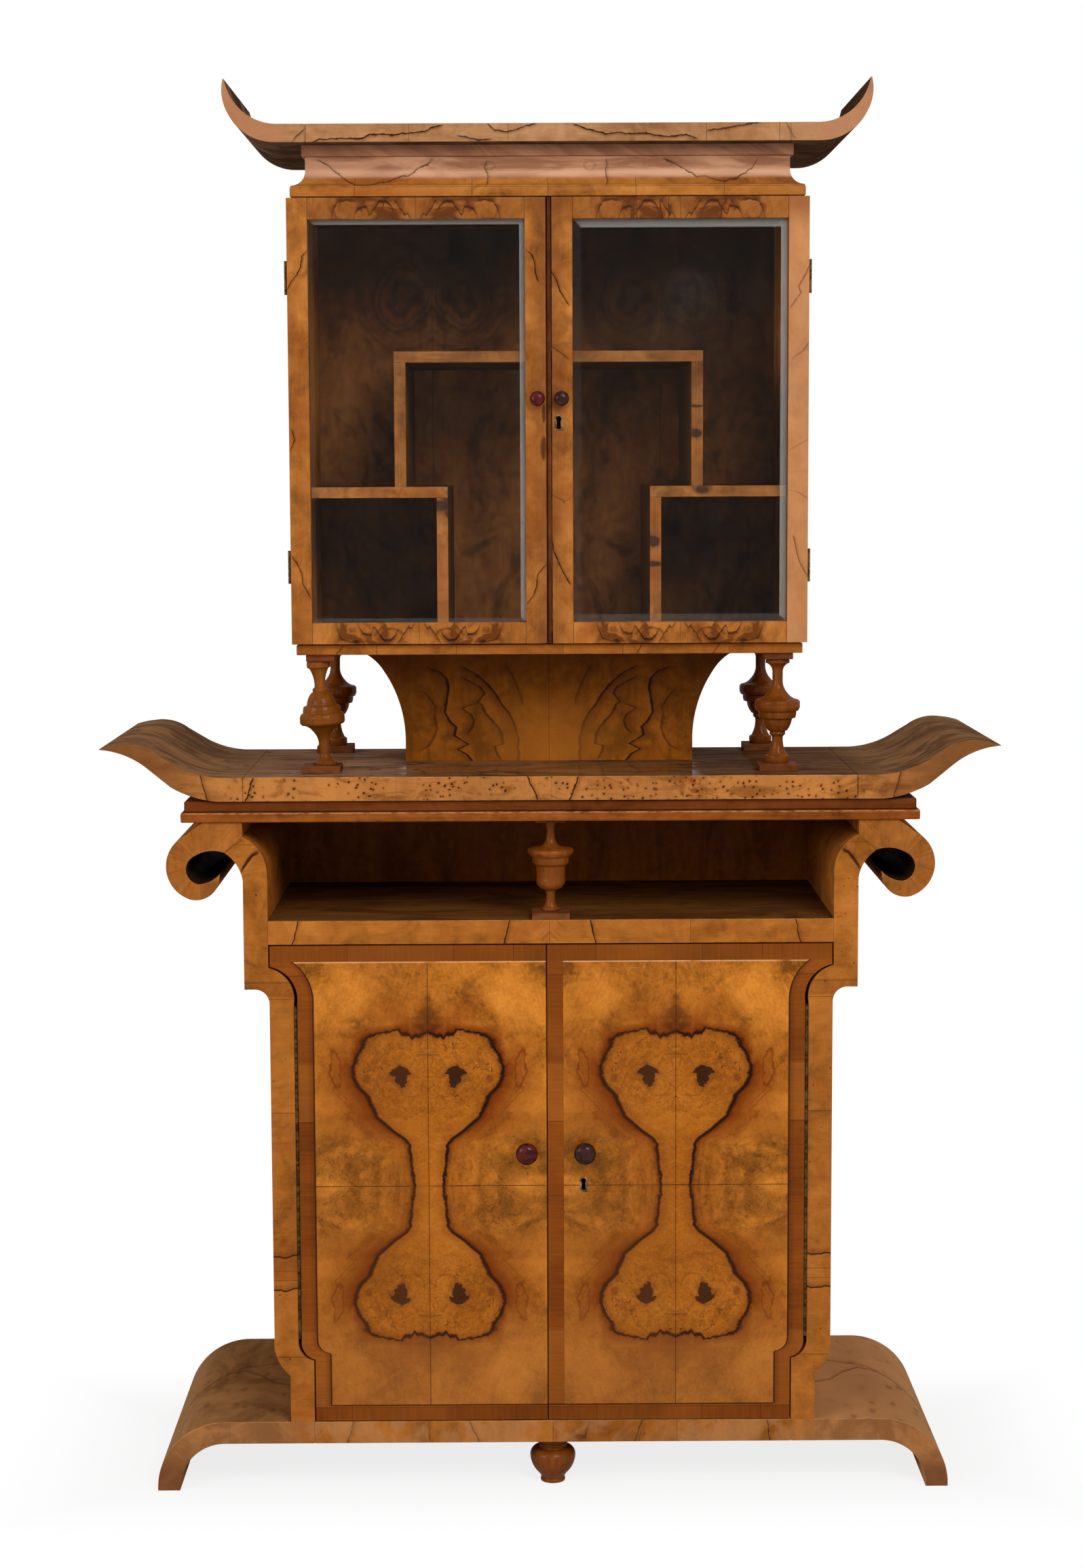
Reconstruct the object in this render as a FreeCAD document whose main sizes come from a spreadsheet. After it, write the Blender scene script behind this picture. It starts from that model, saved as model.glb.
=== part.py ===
import FreeCAD, Part
import math
import os
import Sketcher

# A walnut cabinet on curled feet: a two-door base with an open niche and a table top with
# up-swept wings, a glazed case standing on four turned columns and a hollow pedestal, and a
# roof with two horns. X runs across the front, +Y to the back, +Z up, all in millimetres.
# The origin is under the middle of the whole cabinet, on the floor.

Vector = FreeCAD.Vector
doc = FreeCAD.newDocument("cabinet")

SIZES = {
    # Feet and foot board
    "foot_joint_half": 365,
    "foot_centre_half": 503,
    "foot_inner_radius": 69.5,
    "foot_board_thick": 34.5,
    "foot_rise": 4,
    "centre_foot_radius": 35,
    "centre_foot_setback": 40,
    # Base: depth, side panels and niche
    "table_depth": 430,
    "base_setback": 8,
    "side_thick": 36.5,
    "low_half": 364.5,
    "mid_half": 388,
    "high_half": 425.5,
    "low_height": 96,
    "low_step_rise": 33,
    "high_step_drop": 35.3,
    "high_step_rise": 55.7,
    "outer_step_height": 75,
    "outer_step_rise": 57,
    "outer_step_ledge": 2.5,
    "shoulder_lift": 23,
    "shoulder_radius": 22,
    "door_zone_height": 740,
    "rail_thick": 36,
    "niche_height": 150,
    "base_back_thick": 17,
    "scroll_reach": 115,
    "scroll_drop": 117,
    # Loose shelf inside the base
    "base_shelf_height": 354,
    "base_shelf_thick": 18,
    "base_shelf_setback": 45,
    "base_shelf_play": 1,
    "shelf_pin_radius": 3,
    "shelf_pin_depth": 12,
    "shelf_pin_reach": 14,
    "shelf_pin_inset": 50,
    # Niche baluster and its plates
    "baluster_radius": 35,
    "baluster_base_side": 57,
    "baluster_base_thick": 10,
    "baluster_cap_side": 45,
    "baluster_cap_thick": 4,
    # Mouldings and table top
    "mould_lower_half": 553,
    "mould_lower_thick": 15,
    "mould_lower_setback": 3,
    "mould_upper_half": 548,
    "mould_upper_thick": 17,
    "mould_upper_setback": 7,
    "table_thick": 36,
    "table_joint_half": 459,
    "wing_reach": 213,
    "wing_rise": 50.5,
    # Lower doors
    "door_thick": 20,
    "door_side_gap": 2,
    "door_end_gap": 1.5,
    "hinge_gap": 5,
    "meeting_offset": -7,
    "meeting_gap": 1.6,
    "band_width": 24,
    "corner_band_width": 34,
    "field_proud": 0.8,
    "lower_knob_radius": 16.5,
    "lower_knob_reach": 28,
    "lower_knob_left": 38,
    "lower_knob_right": 50,
    "lower_knob_height": 421.5,
    "lower_keyhole_x": 47.8,
    "lower_keyhole_height": 370,
    # Piano hinges of the lower doors
    "piano_end_gap": 2.5,
    "piano_barrel_radius": 2.2,
    "piano_pin_radius": 1,
    "piano_leaf_width": 13,
    "hinge_leaf_thick": 1,
    "barrel_clear": 0.8,
    "pin_clear": 0.05,
    "knuckle_gap": 0.4,
    # Locks
    "lower_case_length": 66,
    "lower_case_height": 60,
    "lower_case_thick": 12,
    "lower_bolt_height": 12,
    "lower_bolt_thick": 4,
    "lower_bolt_length": 42,
    "lower_bolt_travel": 12,
    "upper_case_length": 25,
    "upper_case_height": 40,
    "upper_case_thick": 9,
    "upper_bolt_height": 8,
    "upper_bolt_thick": 3,
    "upper_bolt_length": 14,
    "upper_bolt_travel": 8,
    "bolt_clear": 0.3,
    "bolt_sink": 0.5,
    "escutcheon_height": 24,
    "escutcheon_width": 13,
    "escutcheon_thick": 0.6,
    "keyhole_radius": 4,
    "keyhole_neck": 5.2,
    "keyhole_foot": 6.6,
    "keyhole_drop": 15,
    # Columns and pedestal between table and upper case
    "stand_height": 179,
    "column_clear": 2.5,
    "column_front_setback": 78,
    "column_back_setback": 392,
    "column_radius": 34,
    "column_base_side": 58,
    "column_base_thick": 11,
    "column_cap_side": 43,
    "column_cap_thick": 10,
    "lean_spare": 1.5,
    "pedestal_setback": 230,
    "pedestal_half": 225,
    "pedestal_flare": 96,
    "pedestal_straight": 28,
    "pedestal_front_thick": 18,
    "pedestal_back_thick": 18,
    "pedestal_back_inset": 8,
    "cheek_thick": 14,
    "cheek_land": 44,
    # Upper case
    "plinth_lap": 1,
    "plinth_thick": 15,
    "plinth_setback": 51,
    "case_lap": 5,
    "case_side_thick": 18,
    "case_height": 661.5,
    "case_board_thick": 16,
    "case_back_thick": 8,
    "upper_setback": 41,
    "upper_door_thick": 22,
    "upper_door_gap": 2.4,
    "upper_door_lap": 1,
    "upper_door_clear": 1.6,
    "left_door_edge": 4,
    "right_door_edge": 5,
    "stile_width": 31,
    "rail_width": 31.5,
    "rebate_width": 8,
    "door_lip": 8,
    "glass_thick": 5,
    "glass_bevel": 12,
    "glass_bevel_depth": 1.6,
    "astragal_edge": 3.4,
    "astragal_nose": 5,
    "astragal_nose_setback": 3,
    "astragal_body_setback": 8,
    "upper_knob_radius": 11,
    "upper_knob_reach": 20,
    "upper_knob_left": 16.8,
    "upper_knob_right": 18.9,
    "upper_knob_height": 363.4,
    "upper_keyhole_x": 14.8,
    "upper_keyhole_height": 328.4,
    # Butt hinges of the upper doors
    "butt_height": 50,
    "butt_inset": 90,
    "butt_barrel_radius": 2.6,
    "butt_pin_radius": 1.2,
    "butt_leaf_width": 20,
    "butt_offset": 3.2,
    # Shelves inside the upper case
    "upper_shelf_setback": 6,
    "side_shelf_height": 219,
    "shelf_thick": 16.5,
    "upright_half": 151.6,
    "upright_thick": 17,
    "bridge_rise": 184.5,
    "bridge_half": 231,
    "bridge_upright_thick": 17.5,
    # Cornice and roof
    "fillet_inset": 4.4,
    "fillet_thick": 14.2,
    "fillet_setback": 46,
    "cove_inset": 1,
    "cove_height": 46,
    "cove_setback": 47,
    "cove_reach": 20.6,
    "cove_foot": 2,
    "cove_curve_height": 26,
    "cove_wall": 40,
    "neck_inset": 15.6,
    "neck_thick": 17.3,
    "neck_setback": 64,
    "roof_thick": 26.6,
    "roof_setback": 31,
    "roof_inset": 7,
    "horn_reach": 118,
    "horn_rise": 65.4,
    # One overrun serves every cut
    "overrun": 5,
}

COUNTS = {
    "piano_knuckle_count": 13,
    "butt_knuckle_count": 5,
    "lean_degrees": 3.2,
}

PLACES = {
    # Depths, from the front edge of the table top
    "front": "(dim.lower_knob_reach + dim.field_proud - dim.base_setback - dim.table_depth) / 2",
    "back": "front + dim.table_depth",
    "base_front": "front + dim.base_setback",
    "base_depth": "dim.table_depth - dim.base_setback",
    "base_back": "back - dim.base_back_thick",
    "upper_front": "front + dim.upper_setback",
    "upper_door_back": "upper_front + dim.upper_door_thick",
    "case_front": "upper_door_back + dim.upper_door_gap",
    "case_back": "back - dim.case_back_thick",
    "shelf_front": "case_front + dim.upper_shelf_setback",
    "shelf_depth": "case_back - shelf_front",
    # Heights, from the floor up
    "board_under": "dim.foot_rise + dim.foot_inner_radius",
    "floor": "board_under + dim.foot_board_thick",
    "rail_under": "floor + dim.door_zone_height",
    "niche_floor": "rail_under + dim.rail_thick",
    "niche_top": "niche_floor + dim.niche_height",
    "mould_middle": "niche_top + dim.mould_lower_thick",
    "table_under": "mould_middle + dim.mould_upper_thick",
    "table_top": "table_under + dim.table_thick",
    "plinth_under": "table_top + dim.stand_height",
    "plinth_top": "plinth_under + dim.plinth_thick",
    "case_floor": "plinth_top + dim.case_board_thick",
    "case_top": "plinth_top + dim.case_height",
    "case_ceiling": "case_top - dim.case_board_thick",
    "fillet_top": "case_top + dim.fillet_thick",
    "cove_top": "fillet_top + dim.cove_height",
    "roof_under": "cove_top + dim.neck_thick",
    "roof_top": "roof_under + dim.roof_thick",
    # Steps of the inner outline of the base
    "low_top": "floor + dim.low_height",
    "low_end": "low_top + dim.low_step_rise",
    "high_end": "rail_under - dim.high_step_drop",
    "high_start": "high_end - dim.high_step_rise",
    "shoulder": "high_start + dim.shoulder_lift",
    "piano_height": "high_start - low_end - 2 * dim.piano_end_gap",
    # Columns stand just clear of the pedestal's flared sides, and the plinth laps past them
    "column_half": "dim.pedestal_half + dim.pedestal_flare + dim.column_clear + dim.column_cap_side / 2",
    "plinth_half": "column_half + dim.column_radius + dim.plinth_lap",
    # Each course of the upper case follows the one under it
    "case_half": "plinth_half + dim.case_lap",
    "upper_door_half": "case_half + dim.upper_door_lap",
    "fillet_half": "case_half - dim.fillet_inset",
    "cove_half": "fillet_half - dim.cove_inset",
    "neck_half": "cove_half - dim.neck_inset",
    "roof_joint_half": "neck_half - dim.roof_inset",
    # Inner width of the upper case, and the height of its doors
    "case_inner": "case_half - dim.case_side_thick",
    "upper_door_low": "plinth_top + dim.upper_door_clear",
    "upper_door_height": "dim.case_height - 2 * dim.upper_door_clear",
    # Hinge axes
    "piano_x": "dim.mid_half - dim.hinge_gap / 2",
    "butt_x": "upper_door_half + dim.butt_offset",
    "butt_y": "upper_door_back + dim.upper_door_gap / 2",
    # Side shelves and the bridge on them
    "side_shelf_top": "plinth_top + dim.side_shelf_height + dim.shelf_thick",
    "bridge_under": "side_shelf_top + dim.bridge_rise",
}

dim = doc.addObject("Spreadsheet::Sheet", "dim")
for row, (name, value) in enumerate((SIZES | COUNTS).items(), start=1):
    dim.set(f"A{row}", name)
    dim.set(f"B{row}", str(value))
    dim.setAlias(f"B{row}", name)
at = doc.addObject("Spreadsheet::Sheet", "at")
for row, (name, formula) in enumerate(PLACES.items(), start=1):
    at.set(f"A{row}", name)
    at.set(f"B{row}", "=" + formula)
    at.setAlias(f"B{row}", name)
doc.recompute()

nodes = {}


def number(expression):
    """Present value of an expression on the sheets."""
    return float(dim.evalExpression(expression))


def place(piece, x="0", y="0", z="0"):
    """Ties a piece's position to the sheets."""
    piece.setExpression("Placement.Base.x", x)
    piece.setExpression("Placement.Base.y", y)
    piece.setExpression("Placement.Base.z", z)


def box(name, x, y, z, wide, deep, high):
    """Rectangular block from its lowest corner and three sizes."""
    block = doc.addObject("Part::Box", name)
    block.setExpression("Length", wide)
    block.setExpression("Width", deep)
    block.setExpression("Height", high)
    place(block, x, y, z)
    return block


def rod(name, radius, length, x, y, z, axis, degrees):
    """Round rod whose own +Z axis is turned by some degrees about an axis."""
    piece = doc.addObject("Part::Cylinder", name)
    piece.setExpression("Radius", radius)
    piece.setExpression("Height", length)
    piece.Placement.Rotation = FreeCAD.Rotation(axis, degrees)
    place(piece, x, y, z)
    return piece


def cut(name, base, tool):
    """What is left of a piece once another shape is taken away."""
    rest = doc.addObject("Part::Cut", name)
    rest.Base = base
    rest.Tool = tool
    return rest


def joined(name, pieces):
    """Pieces glued or worked into one solid."""
    whole = doc.addObject("Part::MultiFuse", name)
    whole.Shapes = pieces
    return whole


def node(piece, label=None):
    """Names a finished sub-part; its label is its file."""
    if label:
        piece.Label = label
    nodes[piece.Label] = piece
    return piece


def group(label, pieces):
    """Like pieces that share one file as separate solids."""
    compound = doc.addObject("Part::Compound", label)
    compound.Links = pieces
    return node(compound)


def new_sketch(body, name, plane):
    """Empty sketch on one of the body's own planes."""
    sketch = body.newObject("Sketcher::SketchObject", name)
    support = [feature for feature in body.Origin.OriginFeatures if feature.Role == plane][0]
    sketch.AttachmentSupport = (support, [""])
    sketch.MapMode = "FlatFace"
    return sketch


def outline(body, name, plane, path):
    """Closed sketch through a path of corners.

    A step of two expressions is a corner reached by a straight edge. A step of four is a
    point that an arc passes through and the corner that it reaches.
    """
    sketch = new_sketch(body, name, plane)
    spots = [Vector(number(step[-2]), number(step[-1]), 0) for step in path]
    rules = []
    bound = []
    ends = []

    def tie(geometry, vertex, expressions):
        for kind, expression in zip(("DistanceX", "DistanceY"), expressions):
            bound.append((len(rules), expression))
            rules.append(Sketcher.Constraint(kind, -1, 1, geometry, vertex, number(expression)))

    for index, start in enumerate(spots):
        following = (index + 1) % len(path)
        step = path[following]
        end = spots[following]
        if len(step) == 2:
            edge = sketch.addGeometry(Part.LineSegment(start, end))
            ends.append((edge, 1, 2))
        else:
            middle = Vector(number(step[0]), number(step[1]), 0)
            forward = (middle - start).cross(end - middle).z > 0
            first, last = (start, end) if forward else (end, start)
            edge = sketch.addGeometry(Part.Arc(first, middle, last))
            ends.append((edge, 1, 2) if forward else (edge, 2, 1))
            mark = sketch.addGeometry(Part.Point(middle), True)
            rules.append(Sketcher.Constraint("PointOnObject", mark, 1, edge))
            tie(mark, 1, step[:2])
    for index, (edge, first, last) in enumerate(ends):
        following, vertex = ends[(index + 1) % len(ends)][:2]
        rules.append(Sketcher.Constraint("Coincident", edge, last, following, vertex))
        tie(edge, first, path[index][-2:])
    numbers = sketch.addConstraint(rules)
    for index, expression in bound:
        sketch.setExpression(f"Constraints[{numbers[index]}]", expression)
    return sketch


def circles(body, name, radii):
    """Sketch of circles about the body's own Z axis."""
    sketch = new_sketch(body, name, "XY_Plane")
    for radius in radii:
        ring = sketch.addGeometry(Part.Circle(Vector(), Vector(0, 0, 1), number(radius)))
        sketch.addConstraint(Sketcher.Constraint("Coincident", ring, 3, -1, 1))
        size = sketch.addConstraint(Sketcher.Constraint("Radius", ring, number(radius)))
        sketch.setExpression(f"Constraints[{size}]", radius)
    return sketch


def pad(body, sketch, length, backwards=False):
    """Thickens a sketch of the body."""
    feature = body.newObject("PartDesign::Pad", sketch.Name + "_pad")
    feature.Profile = sketch
    feature.setExpression("Length", length)
    feature.Reversed = backwards
    return feature


def sawn(name, path, front, depth, plane="XZ_Plane"):
    """Board sawn to an outline seen from the front, running back from its front face."""
    body = doc.addObject("PartDesign::Body", name)
    pad(body, outline(body, name + "_outline", plane, path), depth, backwards=True)
    place(body, y=front)
    return body


def mirrored(side, path):
    """Outline of the right half carried to the side given by +1 or -1."""
    turned_path = []
    for step in path:
        xs = [f"{side} * ({value})" for value in step[0::2]]
        turned_path.append(tuple(part for pair in zip(xs, step[1::2]) for part in pair))
    return turned_path


def turned(name, shares, radius, height):
    """Turned piece about its own middle, from shares of its radius and its height.

    The shares run from the top down; a step of four shares is an arc.
    """
    body = doc.addObject("PartDesign::Body", name)
    path = [("0", f"{height} / 2")]
    for step in shares:
        values = []
        for radial_share, height_share in zip(step[0::2], step[1::2]):
            values += [f"{radial_share} * {radius}", f"(0.5 - {height_share}) * {height}"]
        path.append(tuple(values))
    path.append(("0", f"-{height} / 2"))
    sketch = outline(body, name + "_profile", "XZ_Plane", path)
    spin = body.newObject("PartDesign::Revolution", name + "_spin")
    spin.Profile = sketch
    spin.ReferenceAxis = (sketch, ["V_Axis"])
    spin.Angle = 360
    return body


SIDES = (("left", -1), ("right", 1))

# Foot board: a thick straight board, which runs on into a curled foot at each end.
box("foot_board", "-dim.foot_joint_half", "at.base_front", "at.board_under",
    "2 * dim.foot_joint_half", "at.base_depth", "dim.foot_board_thick")
node(doc.foot_board)

# Curled feet: the board's line bends down in a quarter ring and ends in a short upright stub.
foot_outer = "(dim.foot_inner_radius + dim.foot_board_thick)"
EIGHTH_SHARE = math.sqrt(0.5)
for side_name, side in SIDES:
    foot_path = [
        ("dim.foot_joint_half", "at.board_under"),
        ("dim.foot_centre_half", "at.board_under"),
        (f"dim.foot_centre_half + {EIGHTH_SHARE} * dim.foot_inner_radius",
         f"dim.foot_rise + {EIGHTH_SHARE} * dim.foot_inner_radius",
         "dim.foot_centre_half + dim.foot_inner_radius", "dim.foot_rise"),
        ("dim.foot_centre_half + dim.foot_inner_radius", "0"),
        (f"dim.foot_centre_half + {foot_outer}", "0"),
        (f"dim.foot_centre_half + {foot_outer}", "dim.foot_rise"),
        (f"dim.foot_centre_half + {EIGHTH_SHARE} * {foot_outer}",
         f"dim.foot_rise + {EIGHTH_SHARE} * {foot_outer}",
         "dim.foot_centre_half", "at.floor"),
        ("dim.foot_joint_half", "at.floor"),
    ]
    node(sawn(f"foot_{side_name}", mirrored(side, foot_path), "at.base_front", "at.base_depth"))

# Centre foot: a turned bun foot under the middle of the board.
CENTRE_FOOT_SHARES = [
    (0.71, 0), (0.71, 0.068), (0.59, 0.09), (0.59, 0.13), (0.55, 0.15), (0.6, 0.18), (0.62, 0.22),
    (0.9, 0.27, 1, 0.37), (0.93, 0.54, 0.66, 0.76), (0.55, 0.84, 0.5, 0.9), (0.5, 1),
]
node(turned("centre_foot", CENTRE_FOOT_SHARES, "dim.centre_foot_radius", "at.board_under"))
place(doc.centre_foot, "0", "at.base_front + dim.centre_foot_setback", "at.board_under / 2")


def curve_share(degrees):
    """Sine and cosine of a place on a quarter ellipse, as shares of its two half axes."""
    return math.sin(math.radians(degrees)), math.cos(math.radians(degrees))


# Inner outline that the side panels, the back and the doors share, from the floor up: a
# narrow stretch, a rounded step out, a long upright, a second step out, and an upright.
def inner_steps(edge_gap, hinge_gap):
    """Steps of the inner outline, drawn in by a gap at the edges and another at the hinge."""
    low = f"dim.low_half - {edge_gap}"
    mid = f"dim.mid_half - {hinge_gap}"
    high = f"dim.high_half - {edge_gap}"
    low_rise = f"(at.low_end - at.low_top - {edge_gap})"
    high_rise = f"(at.high_end - at.high_start + {edge_gap})"
    return [
        (low, f"at.low_top + {edge_gap}"),
        (f"{low} + {EIGHTH_SHARE} * (({mid}) - ({low}))", f"at.low_end - {EIGHTH_SHARE} * {low_rise}",
         mid, "at.low_end"),
        (mid, "at.high_start"),
        (f"{high} - {EIGHTH_SHARE} * (({high}) - ({mid}))",
         f"at.high_start + {EIGHTH_SHARE} * {high_rise}",
         high, f"at.high_end + {edge_gap}"),
    ]


def scroll_place(reach_share, drop_share):
    """Point of the scroll, from the panel's outer face outwards and from the moulding down."""
    return (f"dim.high_half + dim.side_thick + {reach_share} * dim.scroll_reach",
            f"at.niche_top - {drop_share} * dim.scroll_drop")


# The head of a side panel leans out in a quarter round and meets the scroll in a mitre.
mitre_low = scroll_place(0.235, 0.393)
mitre_high = scroll_place(0, 0.188)
HEAD_REACH_SHARE = 0.288
head_start = ("dim.high_half", scroll_place(0, 0.658)[1])
head_middle = (f"dim.high_half + {HEAD_REACH_SHARE} * dim.side_thick", scroll_place(0, 0.376)[1])

# Side panels: thick boards sawn to a stepped outline on both edges.
outer_low = "dim.low_half + dim.side_thick"
outer_mid = "dim.mid_half + dim.side_thick"
outer_high = "dim.high_half + dim.side_thick"
outer_reach = "(dim.mid_half - dim.low_half - dim.outer_step_ledge)"
STEP_REACH_SHARE = 0.3
STEP_RISE_SHARE = 0.34
for side_name, side in SIDES:
    panel_path = [
        ("dim.low_half", "at.floor"),
        (outer_low, "at.floor"),
        (outer_low, "at.floor + dim.outer_step_height - dim.outer_step_ledge"),
        (f"{outer_low} + dim.outer_step_ledge", "at.floor + dim.outer_step_height"),
        (f"{outer_mid} - {STEP_REACH_SHARE} * {outer_reach}",
         f"at.floor + dim.outer_step_height + {STEP_RISE_SHARE} * dim.outer_step_rise",
         outer_mid, "at.floor + dim.outer_step_height + dim.outer_step_rise"),
        (outer_mid, "at.shoulder - dim.shoulder_radius"),
        (f"{outer_mid} + (1 - {EIGHTH_SHARE}) * dim.shoulder_radius",
         f"at.shoulder - (1 - {EIGHTH_SHARE}) * dim.shoulder_radius",
         f"{outer_mid} + dim.shoulder_radius", "at.shoulder"),
        (outer_high, "at.shoulder"),
        scroll_place(0, 0.752),
        scroll_place(0.087, 0.534) + mitre_low,
        mitre_high,
        head_middle + head_start,
    ]
    rising = inner_steps("0", "0")
    panel_path += [
        rising[3][-2:],
        rising[3][:2] + rising[2][-2:],
        rising[1][-2:],
        rising[1][:2] + rising[0][-2:],
    ]
    blank = sawn(f"side_blank_{side_name}", mirrored(side, panel_path), "at.base_front", "at.base_depth")
    bores = []
    for place_name, depth in (
            ("front", "at.base_front + dim.base_shelf_setback + dim.shelf_pin_inset"),
            ("back", "at.base_back - dim.shelf_pin_inset")):
        start = "dim.mid_half + dim.shelf_pin_depth" if side > 0 else "-dim.mid_half"
        bores.append(rod(f"pin_bore_{side_name}_{place_name}", "dim.shelf_pin_radius",
                         "dim.shelf_pin_depth", start, depth,
                         "at.floor + dim.base_shelf_height - dim.shelf_pin_radius",
                         Vector(0, 1, 0), -90))
    node(cut(f"side_panel_{side_name}", blank, joined(f"pin_bores_{side_name}", bores)))

# Scrolls: the board's end rolls down and round into an open eye beside the panel's head.
for side_name, side in SIDES:
    scroll_path = [
        scroll_place(0, 0),
        scroll_place(0.513, 0),
        scroll_place(0.622, 0.081) + scroll_place(0.722, 0.158),
        scroll_place(0.998, 0.564) + scroll_place(0.687, 0.998),
        scroll_place(0.443, 0.957) + scroll_place(0.317, 0.803),
        scroll_place(0.296, 0.667),
        scroll_place(0.435, 0.769) + scroll_place(0.574, 0.801),
        scroll_place(0.737, 0.632) + scroll_place(0.626, 0.436),
        scroll_place(0.435, 0.371) + mitre_low,
        mitre_high,
    ]
    node(sawn(f"scroll_{side_name}", mirrored(side, scroll_path), "at.base_front", "at.base_depth"))

# Back of the base: one panel between the side panels, from the foot board to the moulding.
back_half = [("dim.low_half", "at.floor")] + inner_steps("0", "0")
back_half += [head_start, head_middle + mitre_high, (outer_high, "at.niche_top")]
back_path = mirrored(1, back_half)
reverse = mirrored(-1, back_half)
for index in range(len(reverse) - 1, -1, -1):
    before = reverse[index + 1] if index + 1 < len(reverse) else ()
    back_path.append(before[:2] + reverse[index][-2:] if len(before) == 4 else reverse[index][-2:])
node(sawn("base_back", back_path, "at.base_back", "dim.base_back_thick"))

# Niche shelf: the thick board whose front edge is the rail over the doors.
box("niche_shelf", "-dim.high_half", "at.base_front", "at.rail_under",
    "2 * dim.high_half", "at.base_back - at.base_front", "dim.rail_thick")
node(doc.niche_shelf)

# Loose shelf behind the doors, lying on four pins.
box("base_shelf", "dim.base_shelf_play - dim.mid_half", "at.base_front + dim.base_shelf_setback",
    "at.floor + dim.base_shelf_height", "2 * (dim.mid_half - dim.base_shelf_play)",
    "at.base_back - at.base_front - dim.base_shelf_setback", "dim.base_shelf_thick")
node(doc.base_shelf)
pins = []
for side_name, side in SIDES:
    for place_name, depth in (
            ("front", "at.base_front + dim.base_shelf_setback + dim.shelf_pin_inset"),
            ("back", "at.base_back - dim.shelf_pin_inset")):
        start = "dim.mid_half + dim.shelf_pin_depth" if side > 0 else "dim.shelf_pin_reach - dim.mid_half"
        pins.append(rod(f"shelf_pin_{side_name}_{place_name}", "dim.shelf_pin_radius",
                        "dim.shelf_pin_depth + dim.shelf_pin_reach", start, depth,
                        "at.floor + dim.base_shelf_height - dim.shelf_pin_radius",
                        Vector(0, 1, 0), -90))
group("shelf_pins", pins)

# Niche baluster: a turned urn between a square base plate and a thin cap.
BALUSTER_SHARES = [
    (0.27, 0), (0.2, 0.05, 0.19, 0.14), (0.24, 0.22, 0.42, 0.28), (0.97, 0.305), (1, 0.32), (0.99, 0.345),
    (0.86, 0.385), (0.79, 0.395), (0.8, 0.42), (0.77, 0.465), (0.69, 0.485), (0.63, 0.49), (0.61, 0.63),
    (0.52, 0.73, 0.24, 0.765), (0.21, 0.79), (0.2, 0.87, 0.3, 0.955), (0.39, 0.965), (0.4, 0.985),
    (0.37, 1),
]
baluster_y = "at.base_front + dim.baluster_base_side / 2"
baluster_height = "(dim.niche_height - dim.baluster_base_thick - dim.baluster_cap_thick)"
node(turned("niche_baluster", BALUSTER_SHARES, "dim.baluster_radius", baluster_height))
place(doc.niche_baluster, "0", baluster_y,
      f"at.niche_floor + dim.baluster_base_thick + {baluster_height} / 2")
group("baluster_plates", [
    box("baluster_base", "-dim.baluster_base_side / 2", f"{baluster_y} - dim.baluster_base_side / 2",
        "at.niche_floor", "dim.baluster_base_side", "dim.baluster_base_side", "dim.baluster_base_thick"),
    box("baluster_cap", "-dim.baluster_cap_side / 2", f"{baluster_y} - dim.baluster_cap_side / 2",
        "at.niche_top - dim.baluster_cap_thick", "dim.baluster_cap_side", "dim.baluster_cap_side",
        "dim.baluster_cap_thick"),
])

# Two moulding boards under the table top.
box("moulding_lower", "-dim.mould_lower_half", "at.front + dim.mould_lower_setback", "at.niche_top",
    "2 * dim.mould_lower_half", "dim.table_depth - dim.mould_lower_setback", "dim.mould_lower_thick")
node(doc.moulding_lower)
box("moulding_upper", "-dim.mould_upper_half", "at.front + dim.mould_upper_setback", "at.mould_middle",
    "2 * dim.mould_upper_half", "dim.table_depth - dim.mould_upper_setback", "dim.mould_upper_thick")
node(doc.moulding_upper)

# Table top, with a wing at each end that sweeps up over a crest to a thin pointed edge.
box("table_board", "-dim.table_joint_half", "at.front", "at.table_under",
    "2 * dim.table_joint_half", "dim.table_depth", "dim.table_thick")
node(doc.table_board)


def wing_place(reach_share, rise_share):
    """Point of a wing, from the joint outwards and from the underside to the crest."""
    return (f"dim.table_joint_half + {reach_share} * dim.wing_reach",
            f"at.table_under + {rise_share} * (dim.table_thick + dim.wing_rise)")


for side_name, side in SIDES:
    wing_path = [
        ("dim.table_joint_half", "at.table_under"),
        (wing_place(0.178, 0)[0], "at.table_under"),
        wing_place(0.357, 0.089) + wing_place(0.502, 0.249),
        wing_place(0.662, 0.572),
        wing_place(0.807, 0.792) + wing_place(1, 0.908),
        wing_place(1, 0.919),
        wing_place(0.93, 0.965) + wing_place(0.859, 0.99),
        wing_place(0.728, 0.976) + wing_place(0.606, 0.832),
        wing_place(0.465, 0.624),
        wing_place(0.324, 0.48) + (wing_place(0.16, 0)[0], "at.table_top"),
        ("dim.table_joint_half", "at.table_top"),
    ]
    node(sawn(f"table_wing_{side_name}", mirrored(side, wing_path), "at.front", "dim.table_depth"))

# Lower doors: flush boards that follow the panels, with a slightly proud field inside a band.
lower_door_bottom = "(at.floor + dim.door_end_gap)"
lower_door_top = "(at.rail_under - dim.door_side_gap)"
lower_keyhole_z = "(at.floor + dim.lower_keyhole_height)"
lower_bolt_y = "(at.base_front + dim.door_thick - dim.lower_case_thick / 2 - dim.lower_bolt_thick / 2)"


def lower_lock_box(name, side_room, end_room):
    """Block that a lower bolt fills, or the channel that it runs in."""
    return box(name, f"dim.meeting_offset + dim.meeting_gap / 2 + {end_room}",
               f"{lower_bolt_y} - {side_room}",
               f"{lower_keyhole_z} - dim.lower_bolt_height / 2 - {side_room}",
               "dim.lower_bolt_length + dim.lower_bolt_travel",
               f"dim.lower_bolt_thick + 2 * {side_room}", f"dim.lower_bolt_height + 2 * {side_room}")


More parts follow.
